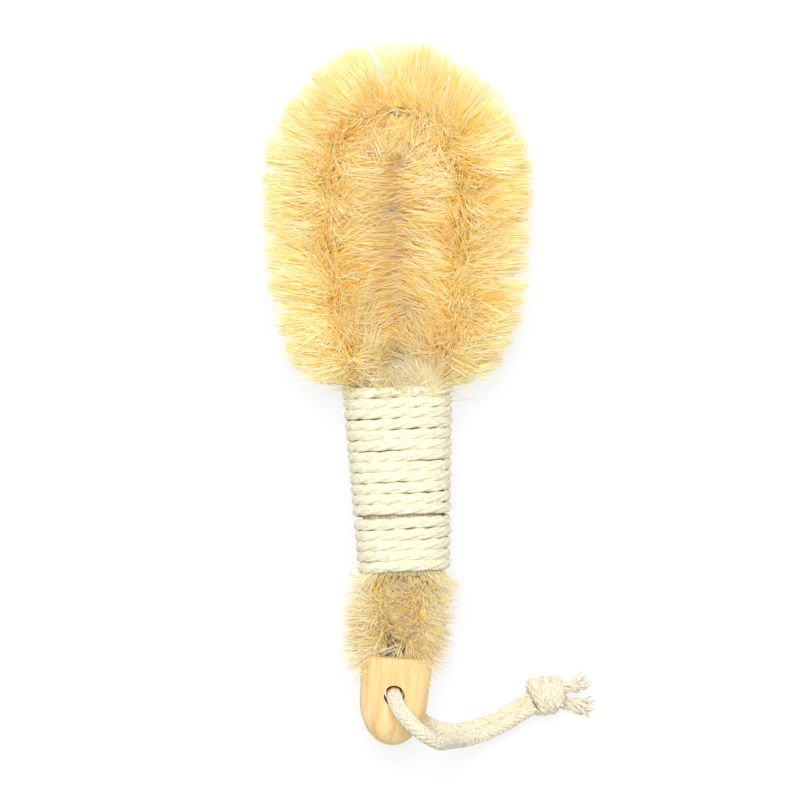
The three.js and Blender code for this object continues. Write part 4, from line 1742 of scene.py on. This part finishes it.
@dataclass
class Binding:
    """The twine: plies laid round a soft core and wound in turns that press against each other."""

    core: CoreLine
    finish: YarnFinish
    random: np.random.Generator
    turns: int = 17
    pitch: float = 3.61
    first_turn: float = 0.2
    first_drop: float = 1.594
    wide_gap: float = 1.35
    wide_gap_turn: float = 12.0
    wide_gap_ease: float = 0.4
    path_radius: float = 11.4
    path_steps: int = 40
    path_samples: int = 4
    edge_half_spacing: float = 6.1
    twine_half_width: float = 2.02
    twine_half_height: float = 1.48
    ply_radius: float = 0.9
    swell: float = 0.06
    swell_lengths: Span = (3.1, 7.3)
    swell_shift: float = 2.1
    core_radius: float = 1.36
    plies: int = 4
    lay: float = 27.0
    rings_per_lay: int = 24
    sides: int = 8
    map_margin: float = 0.004
    wobble_heights: Place = (0.17, 0.1, 0.07)
    wobble_lengths: Place = (11.0, 6.1, 3.7)
    wobble_shifts: Place = (0.0, 1.0, 0.0)
    hairs: int = 420
    hair_rings: int = 5
    hair_radius: float = 0.06
    hair_root: float = 0.7
    hair_side: Span = (0.2, 1.0)
    hair_slant: float = 0.8
    hair_lift: Span = (0.5, 1.1)
    hair_length: Span = (1.2, 3.6)
    hair_curl: float = 0.5
    hair_columns: Span = (0.0, 0.98)
    hair_column_width: float = 0.015
    hair_map_end: float = 0.99

    def build(self) -> None:
        """Makes the plies and the core between them as one piece, and the hairs as another."""
        line = Line(self._path(), self.path_samples)
        step = self.lay / self.rings_per_lay
        rings = int(line.length / step)
        way = np.arange(rings) * step
        points = line.at(way) + self._wobble(way)[:, None] * FORWARD
        heading = line.heading(way)
        wide = unit(FORWARD - heading * heading[:, 1:2])
        outward = np.cross(heading, wide)
        strands = [points]
        for ply in range(self.plies):
            angle = 2 * np.pi * (ply / self.plies - way / self.lay)
            across = (self.twine_half_width - self.ply_radius) * np.cos(angle)
            out = (self.twine_half_height - self.ply_radius) * np.sin(angle)
            strands.append(points + across[:, None] * wide + out[:, None] * outward)
        count = len(strands)
        quick, slow = self.swell_lengths
        shift = np.arange(count)[:, None] * self.swell_shift
        swollen = self.swell * np.sin(way / quick)[None, :] * np.sin(way / slow + shift)
        radii = self.ply_radius * (1 + swollen)
        radii[0] = self.core_radius
        columns = np.arange(count) / count + self.map_margin
        along = np.arange(rings) / self.rings_per_lay
        width = 1 / count - 2 * self.map_margin
        made = Strands(np.stack(strands), radii, columns, width, along, self.sides)
        material = self.finish.material()
        piece = made.piece("wound_twine", material)
        settle(piece, Body.BRUSH, Slot.TWINE, "binding_twine")
        settle(self._hairs(points, wide, outward).piece("twine_hairs", material), Body.BRUSH, Slot.TWINE)

    def _hairs(self, points: Array, wide: Array, outward: Array) -> Strands:
        """Fine hairs that stand off the twine.

        Args:
            points: Points of the middle of the twine.
            wide: The directions across the twine there.
            outward: The directions away from the grip or towards it there.

        Returns:
            The hairs, ready to be made.
        """
        random = self.random
        count, rings = self.hairs, self.hair_rings
        chosen = random.integers(0, len(points), count)
        middle = np.array([0.0, 0.0, self.core.height])
        away = np.sign(np.sum(outward * (points - middle) * np.array([1.0, 0.0, 1.0]), axis=1))
        off = (outward * away[:, None])[chosen]
        side = (random.choice((-1.0, 1.0), count) * random.uniform(*self.hair_side, count))[:, None]
        root = points[chosen] + self.twine_half_height * self.hair_root * off
        onward = np.cross(wide, outward)[chosen]
        drift = wide[chosen] * side + onward * random.normal(0.0, self.hair_slant, (count, 1))
        lift = off * random.uniform(*self.hair_lift, (count, 1))
        length = random.uniform(*self.hair_length, (count, 1))
        share = np.linspace(0.0, 1.0, rings)[None, :, None]
        curl = random.normal(0.0, self.hair_curl, (count, 1, 3)) * share**2
        hairs = root[:, None] + (unit(drift + lift) * length)[:, None] * share + curl
        radii = np.full((count, rings), self.hair_radius)
        columns = random.uniform(*self.hair_columns, count)
        along = np.linspace(0.0, self.hair_map_end, rings)
        return Strands(hairs, radii, columns, self.hair_column_width, along)

    def _wobble(self, way: Array) -> Array:
        """Small unevenness of a winding that was made by hand."""
        waves = zip(self.wobble_heights, self.wobble_lengths, self.wobble_shifts)
        return sum(height * np.sin(way / length + shift) for height, length, shift in waves)

    def _level(self, turn: float) -> float:
        """The Y of a place on the winding."""
        before, after = self.wide_gap_turn - self.wide_gap_ease, self.wide_gap_turn + self.wide_gap_ease
        wide = float(smooth(before, after, np.float64(turn)))
        return self.core.grip_top - self.first_drop - self.pitch * (turn - 0.5) - self.wide_gap * wide

    def _path(self) -> list[Place]:
        """Points of the winding: under the grip, up its right side, over it and down its left side."""
        points = []
        count = int((self.turns - 2 * self.first_turn) * self.path_steps)
        for i in range(count + 1):
            turn = self.first_turn + i / self.path_steps
            y = self._level(turn)
            x, z = self._round(turn % 1.0, self.core.narrowed(self.edge_half_spacing, y))
            points.append((x + float(self.core.lean_at(y)), y, self.core.height + z))
        return points

    def _round(self, share: float, spacing: float) -> Span:
        """A place on one turn, measured from the middle of the under side."""
        radius = self.path_radius
        arc = math.pi * radius
        way = share * 2 * (2 * spacing + arc) - spacing
        if way < 0:
            return way + spacing, -radius
        if way < arc:
            angle = way / radius - math.pi / 2
            return spacing + radius * math.cos(angle), radius * math.sin(angle)
        way -= arc
        if way < 2 * spacing:
            return spacing - way, radius
        way -= 2 * spacing
        if way < arc:
            angle = way / radius + math.pi / 2
            return -spacing + radius * math.cos(angle), radius * math.sin(angle)
        return way - arc - spacing, -radius


# The cap


@dataclass
class EndCap:
    """The turned wooden cap, with a bore for the wire ends and a cross hole for the cord."""

    core: CoreLine
    finish: WoodFinish
    length: float = 30.486
    radius: float = 12.3
    nose_length: float = 16.0
    nose_radius: float = 11.6
    mouth_edge: float = 1.6
    bore_radius: float = 5.2
    bore_depth: float = 8.2
    hole_radius: float = 3.55
    hole_depth: float = 12.8
    hole_edge: float = 0.45
    hole_segments: int = 64
    rim_segments: int = 3
    rim_angle: float = math.radians(40)
    nose_steps: int = 24
    lip_steps: int = 8
    steps: int = 96

    def build(self) -> None:
        """Turns the cap on its axis, drills the cross hole and rounds its rim."""
        body = placed("cap_body", mesh_of("cap_body", self._turned()))
        drill = placed("cap_drill", mesh_of("cap_drill", self._drill()))
        cut = body.modifiers.new("cross_hole", "BOOLEAN")
        cut.operation = "DIFFERENCE"
        cut.solver = "EXACT"
        cut.object = drill
        rim = body.modifiers.new("rims", "BEVEL")
        rim.width = self.hole_edge * MM
        rim.segments = self.rim_segments
        rim.limit_method = "ANGLE"
        rim.angle_limit = self.rim_angle
        mesh = taken_mesh(body, drill)
        place = Matrix.Translation(Vector((0, self.core.cap_mouth, self.core.height)) * MM)
        mesh.transform(place @ Matrix.Rotation(self.core.cap_tilt, 4, "Z"))
        piece = finish_piece("turned_cap", mesh, self.finish.material())
        settle(piece, Body.BRUSH, Slot.WOOD, "end_cap")

    def _profile(self) -> list[tuple[float, float]]:
        """The outline of the cap, from the tip of its nose to the bottom of its bore."""
        base = -self.length + self.nose_length
        counts = (self.nose_steps, self.lip_steps)
        nose, lip = ([math.pi * i / (2 * count) for i in range(count + 1)] for count in counts)
        points = [(self.nose_radius * math.sin(a), base - self.nose_length * math.cos(a)) for a in nose]
        edge = self.mouth_edge
        points += [(self.radius - edge + edge * math.cos(a), -edge + edge * math.sin(a)) for a in lip]
        points += [(self.bore_radius, 0.0), (self.bore_radius, -self.bore_depth), (0.0, -self.bore_depth)]
        return points

    def _turned(self) -> bmesh.types.BMesh:
        """Spins the outline round the cap's axis."""
        shape = bmesh.new()
        verts = [shape.verts.new(Vector((x, y, 0)) * MM) for x, y in self._profile()]
        edges = [shape.edges.new(pair) for pair in zip(verts, verts[1:])]
        bmesh.ops.spin(
            shape,
            geom=[*verts, *edges],
            axis=(0, 1, 0),
            cent=(0, 0, 0),
            angle=2 * math.pi,
            steps=self.steps,
            use_merge=True,
        )
        bmesh.ops.remove_doubles(shape, verts=shape.verts[:], dist=TINY)
        bmesh.ops.recalc_face_normals(shape, faces=shape.faces[:])
        return shape

    def _drill(self) -> bmesh.types.BMesh:
        """The round bar that cuts the cross hole."""
        shape = bmesh.new()
        radius = self.hole_radius * MM
        sizes = {"radius1": radius, "radius2": radius, "depth": 4 * self.radius * MM}
        bmesh.ops.create_cone(shape, cap_ends=True, segments=self.hole_segments, **sizes)
        bmesh.ops.translate(shape, verts=shape.verts[:], vec=Vector((0, -self.hole_depth, 0)) * MM)
        return shape


# The cord


@dataclass
class HangingCord:
    """The braided cotton loop: two strands from the cross hole, a knot and two frayed ends."""

    core: CoreLine
    finish: YarnFinish
    random: np.random.Generator
    diameter: float = 5.6
    yarns_per_way: int = 8
    braid_pitch: float = 17.0
    yarn_radius: float = 0.72
    yarn_sides: int = 6
    weave: float = 0.3
    weave_turns: int = 4
    ring_spacing: float = 0.55
    fewest_rings: int = 24
    map_margin: float = 0.05
    map_end: float = 0.999
    hole: Span = (-0.9597, -102.364)
    upper_mouth: float = 34.6
    lower_mouth: float = 11.2
    half_gap: float = 0.15
    declared_points: int = 40
    floor: float = 2.85
    knot_centre: Place = (51.2, -104.4, 6.4)
    knot_half_width: float = 4.2
    knot_half_height: float = 3.55
    knot_half_length: float = 4.4
    knot_turns: float = 3.0
    knot_steps: int = 16
    knot_start: float = 0.75
    knot_slant: float = 26.0
    knot_straightening: float = 30.0
    knot_skew: float = 0.12
    loose_yarns: int = 18
    loose_rings: int = 30
    loose_sides: int = 7
    loose_yarn_radius: float = 0.56
    loose_radius: float = 0.36
    loose_opening: float = 0.5
    loose_spread: Span = (0.3, 1.15)
    loose_twist: float = 4.2
    loose_stray: float = 0.9
    loose_bend: float = 1.3
    loose_length: Span = (0.7, 1.0)
    loose_floor: float = 0.95
    ripple_height: float = 0.35
    ripple_turn: float = 9.0
    taper_shares: Place = (0.0, 0.8, 1.0)
    taper_radii: Place = (1.0, 0.9, 0.4)

    def build(self) -> None:
        material = self.finish.material()
        knot = self._braided("cord_knot_wraps", Line(self._knot_route()), material)
        settle(knot, Body.CORD, Slot.COTTON, "cord_knot")
        ends = []
        for name, route in (("front", self._front_end()), ("back", self._back_end())):
            piece = self._frayed(f"cord_frayed_{name}", Line(route), material)
            ends.append(settle(piece, Body.CORD, Slot.COTTON, f"cord_end_{name}"))
        front = (Line(self._front_route()), self.upper_mouth, [knot, *ends])
        back = (Line(self._back_route()), self.lower_mouth, [])
        for name, (line, level, others) in (("front", front), ("back", back)):
            piece = self._braided(f"cord_braid_{name}", line, material)
            settle(piece, Body.CORD, Slot.COTTON, f"cord_{name}_strand")
            self._declare(piece, line, level)

    def _declare(
        self, piece: bpy.types.Object, line: Line, level: float
    ) -> None:
        """Finds which points of a free strand lie past the mouth of the hole that it leaves by, and keeps
        nothing.

        Args:
            piece: The strand; not used.
            line: Its middle line.
            level: The Z of the mouth of the hole that it leaves by.
        """
        beyond = (line.table[:, 2] - level) * np.sign(level - self.core.height) > 0
        self.diameter * MM

    def _front_route(self) -> list[Place]:
        """The strand that leaves the upper mouth of the hole and falls over the side of the cap."""
        x, y = self.hole
        return [
            (x, y, self.core.height + self.half_gap),
            (x, y, 31.2),
            (-0.6, -103.3, 36.3),
            (0.6, -105.8, 40.2),
            (3.4, -109.4, 42.9),
            (6.7, -112.7, 43.4),
            (10.2, -115.5, 41.9),
            (13.2, -117.3, 38.6),
            (15.4, -118.1, 34.1),
            (16.9, -118.4, 29),
            (18.4, -118.6, 24),
            (20.4, -118.8, 19.2),
            (23, -118.8, 14.9),
            (26.5, -118.3, 11.4),
            (30.5, -117.1, 9.1),
            (34.5, -115.3, 8.1),
            (38.7, -113.1, 8.1),
            (42.9, -110.4, 8.8),
            (47.2, -107.6, 9.5),
        ]

    def _back_route(self) -> list[Place]:
        """The strand that leaves the lower mouth of the hole and lies on the surface."""
        x, y = self.hole
        low = self.floor
        return [
            (x, y, self.core.height - self.half_gap),
            (x, y, 14.2),
            (-0.3, -103.2, 9.4),
            (1.5, -105.6, 5.4),
            (4.6, -109, 3.2),
            (8.5, -112.9, low),
            (12.8, -115.6, low),
            (18, -116.8, low),
            (23.4, -116.3, low),
            (28.4, -115, low),
            (33.4, -113.2, low),
            (38, -110.9, low),
            (42.3, -108.2, low),
            (47, -105, 3.1),
        ]

    def _knot_route(self) -> list[Place]:
        """The turns of cord that make the knot: a slanted first turn, and straighter ones past it."""
        x, y, z = self.knot_centre
        points = []
        count = int(self.knot_turns * self.knot_steps)
        for i in range(count + 1):
            share = i / count
            angle = 2 * math.pi * self.knot_turns * share + math.pi * self.knot_start
            slant = math.radians(self.knot_slant - self.knot_straightening * share)
            along = self.knot_half_length * (2 * share - 1)
            across = self.knot_half_width * math.cos(angle)
            points.append((
                x + along - across * math.sin(slant),
                y + self.knot_skew * along + across * math.cos(slant),
                z + self.knot_half_height * math.sin(angle),
            ))
        return points

    @staticmethod
    def _front_end() -> list[Place]:
        """The upper of the two ends."""
        return [(53.7, -103.1, 8.6), (57.7, -101.9, 8.4), (61.7, -101.1, 6.8), (66.2, -100.5, 4.6)]

    @staticmethod
    def _back_end() -> list[Place]:
        """The lower of the two ends."""
        return [(53.7, -105.7, 4.6), (57.7, -107.0, 3.6), (62.2, -108.1, 3.0), (68.2, -109.0, 2.8)]

    def _braided(self, name: str, line: Line, material: bpy.types.Material) -> bpy.types.Object:
        """Braids yarns round a line, half of them each way, over and under in turn.

        Args:
            name: The name of the piece.
            line: The middle line of the cord.
            material: The yarns' finish.

        Returns:
            The new object.
        """
        rings = max(int(line.length / self.ring_spacing), self.fewest_rings)
        way = np.linspace(0.0, line.length, rings)
        points, first, second = line.frames(way)
        turn = 2 * np.pi * way / self.braid_pitch
        yarns = []
        for sense in (1, -1):
            for yarn in range(self.yarns_per_way):
                angle = sense * turn + 2 * np.pi * yarn / self.yarns_per_way
                over = sense * np.cos(np.pi * yarn + sense * self.weave_turns * turn - np.pi / 4)
                out = self.diameter / 2 - self.yarn_radius - self.weave + self.weave * over
                offset = np.cos(angle)[:, None] * first + np.sin(angle)[:, None] * second
                yarns.append(points + out[:, None] * offset)
        yarns.append(points)
        radii = np.full((len(yarns), rings), self.yarn_radius)
        radii[-1] = self.diameter / 2 - 2 * self.yarn_radius
        return self._laid(np.stack(yarns), radii, way / line.length, self.yarn_sides).piece(name, material)

    def _frayed(self, name: str, line: Line, material: bpy.types.Material) -> bpy.types.Object:
        """Loose yarns that spread and curl past the knot.

        Args:
            name: The name of the piece.
            line: The middle line of the end.
            material: The yarns' finish.

        Returns:
            The new object.
        """
        random = self.random
        plies, rings = self.loose_yarns, self.loose_rings
        way = np.linspace(0.0, line.length, rings)
        points, first, second = line.frames(way)
        share = np.linspace(0.0, 1.0, rings)
        grown = share[None, :, None]
        angle = (np.arange(plies) / plies * 2 * np.pi)[:, None]
        opened = self.diameter * self.loose_radius * (1 + self.loose_opening * share**2)
        out = opened * random.uniform(*self.loose_spread, (plies, 1))
        stray = random.normal(0.0, self.loose_stray, (plies, 1))
        turned = angle + self.loose_twist * share + stray * share**2
        offset = np.cos(turned)[..., None] * first + np.sin(turned)[..., None] * second
        bend = random.normal(0.0, self.loose_bend, (plies, 1, 3)) * grown**3
        phase = random.uniform(0.0, 2 * np.pi, (plies, 1, 3))
        ripple = self.ripple_height * np.sin(self.ripple_turn * grown + phase) * grown
        shortened = random.uniform(*self.loose_length, (plies, 1, 1))
        yarns = points[0] + (points[None] + out[..., None] * offset + bend + ripple - points[0]) * shortened
        yarns[..., 2] = np.maximum(yarns[..., 2], self.loose_floor)
        taper = np.interp(share, self.taper_shares, self.taper_radii)
        radii = np.full((plies, rings), self.loose_yarn_radius) * taper
        return self._laid(yarns, radii, share, self.loose_sides).piece(name, material)

    def _laid(self, yarns: Array, radii: Array, share: Array, sides: int) -> Strands:
        """Gives each yarn a column of the map.

        Args:
            yarns: The points of each yarn.
            radii: Its radius at each point.
            share: How far along the cord each point is, from 0 to 1.
            sides: The sides of its section.

        Returns:
            The yarns, ready to be made.
        """
        count = len(yarns)
        columns = (np.arange(count) + self.map_margin) / count
        width = (1 - 2 * self.map_margin) / count
        return Strands(yarns, radii, columns, width, np.minimum(share, self.map_end), sides)


# The studio


@dataclass
class Studio:
    """A camera straight above the brush, a white floor and soft light."""

    target: Place = (0.0010, -0.0022, 0.0229)
    camera_distance: float = 1.3
    view_width: float = 0.2731
    sensor: float = 36.0
    sky: float = 0.465
    key_power: float = 25.5
    key_place: Place = (-0.05, 0.4, 1.6)
    key_size: float = 0.8
    floor_half_width: float = 4.0
    floor_colour: Colour = (0.88, 0.9, 0.93, 1.0)
    floor_white: float = 0.8
    bounces: int = 24

    def build(self) -> None:
        """Makes the camera, the lamp, the world and the floor."""
        scene = bpy.context.scene
        scene.view_settings.view_transform = "Standard"
        scene.cycles.max_bounces = self.bounces
        scene.cycles.diffuse_bounces = self.bounces
        self._camera(scene)
        self._key()
        self._world(scene)
        self._floor()

    def _camera(self, scene: bpy.types.Scene) -> None:
        """Looks straight down, with the head at the top of the picture."""
        data = bpy.data.cameras.new("view_from_above")
        data.sensor_width = self.sensor
        data.lens = self.sensor * self.camera_distance / self.view_width
        camera = placed("view_from_above", data)
        camera.location = Vector(self.target) + Vector((0, 0, self.camera_distance))
        scene.camera = camera

    def _key(self) -> None:
        """One large soft lamp, high up and a little beyond the head."""
        data = bpy.data.lights.new("soft_key", "AREA")
        data.energy = self.key_power
        data.size = self.key_size
        lamp = placed("soft_key", data)
        lamp.location = self.key_place
        lamp.rotation_euler = (Vector(self.target) - lamp.location).to_track_quat("-Z", "Y").to_euler()

    @staticmethod
    def _seen(board: NodeBoard) -> Shade:
        """Is 1 for what the camera sees, directly or in gloss or glass."""
        rays = ("Is Camera Ray", "Is Glossy Ray", "Is Transmission Ray")
        camera, glossy, through = (board.node("ShaderNodeLightPath", None, None, ray) for ray in rays)
        settings = {"operation": "ADD", "use_clamp": True}
        return board.node("ShaderNodeMath", settings, {0: camera + glossy, 1: through})

    def _world(self, scene: bpy.types.Scene) -> None:
        """A pale sky that looks white and lights softly."""
        board = NodeBoard(bpy.data.worlds.new("pale_sky"))
        strength = self.sky + self._seen(board) * (1.0 - self.sky)
        sky = board.node("ShaderNodeBackground", None, {"Color": WHITE, "Strength": strength})
        scene.world = board.close(sky)

    def _floor(self) -> None:
        """A wide white floor that keeps the shadow of the brush."""
        shape = bmesh.new()
        bmesh.ops.create_grid(shape, x_segments=1, y_segments=1, size=self.floor_half_width)
        mesh = mesh_of("floor", shape)
        board = NodeBoard.of_material("white_floor")
        lit = board.node("ShaderNodeBsdfDiffuse", None, {"Color": self.floor_colour})
        white = board.node("ShaderNodeEmission", None, {"Color": WHITE, "Strength": 1.0})
        share = self._seen(board) * self.floor_white
        mixed = board.node("ShaderNodeMixShader", None, {0: share, 1: lit, 2: white})
        mesh.materials.append(board.close(mixed))
        floor = placed("floor", mesh)
        floor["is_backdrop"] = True


def corners(box: Any) -> list[list[float]]:
    """A box as plain lists of numbers."""
    return [[float(value) for value in corner] for corner in box]


def main() -> None:
    """Loads the frame, builds every piece round it and measures the sizes of both models."""
    logging.basicConfig(level=logging.INFO, format="%(name)s: %(message)s")
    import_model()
    frame_box = corners(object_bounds())
    Studio().build()
    core = CoreLine()
    HangingCord(core, YarnFinish.cotton(), Seed.CORD.draws()).build()
    WireCore(core, WireFinish()).build()
    EndCap(core, WoodFinish()).build()
    GripFilling(core, FillingFinish()).build()
    Binding(core, YarnFinish.twine(), Seed.TWINE.draws()).build()
    fibre = FibreFinish().material()
    HeadBristles(FibreBed(core, Seed.HEAD.draws()), fibre).build()
    messy = FibreBed(core, Seed.TAIL.draws(), parting=1.2, crossing=9.0, scatter=math.radians(25))
    TailBristles(messy, fibre).build()
    PressedFibres(core, Seed.PRESSED.draws(), fibre).build()
    bpy.context.view_layer.update()
    {"frame": frame_box, "visual": corners(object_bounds())}


if __name__ == "__main__":
    main()
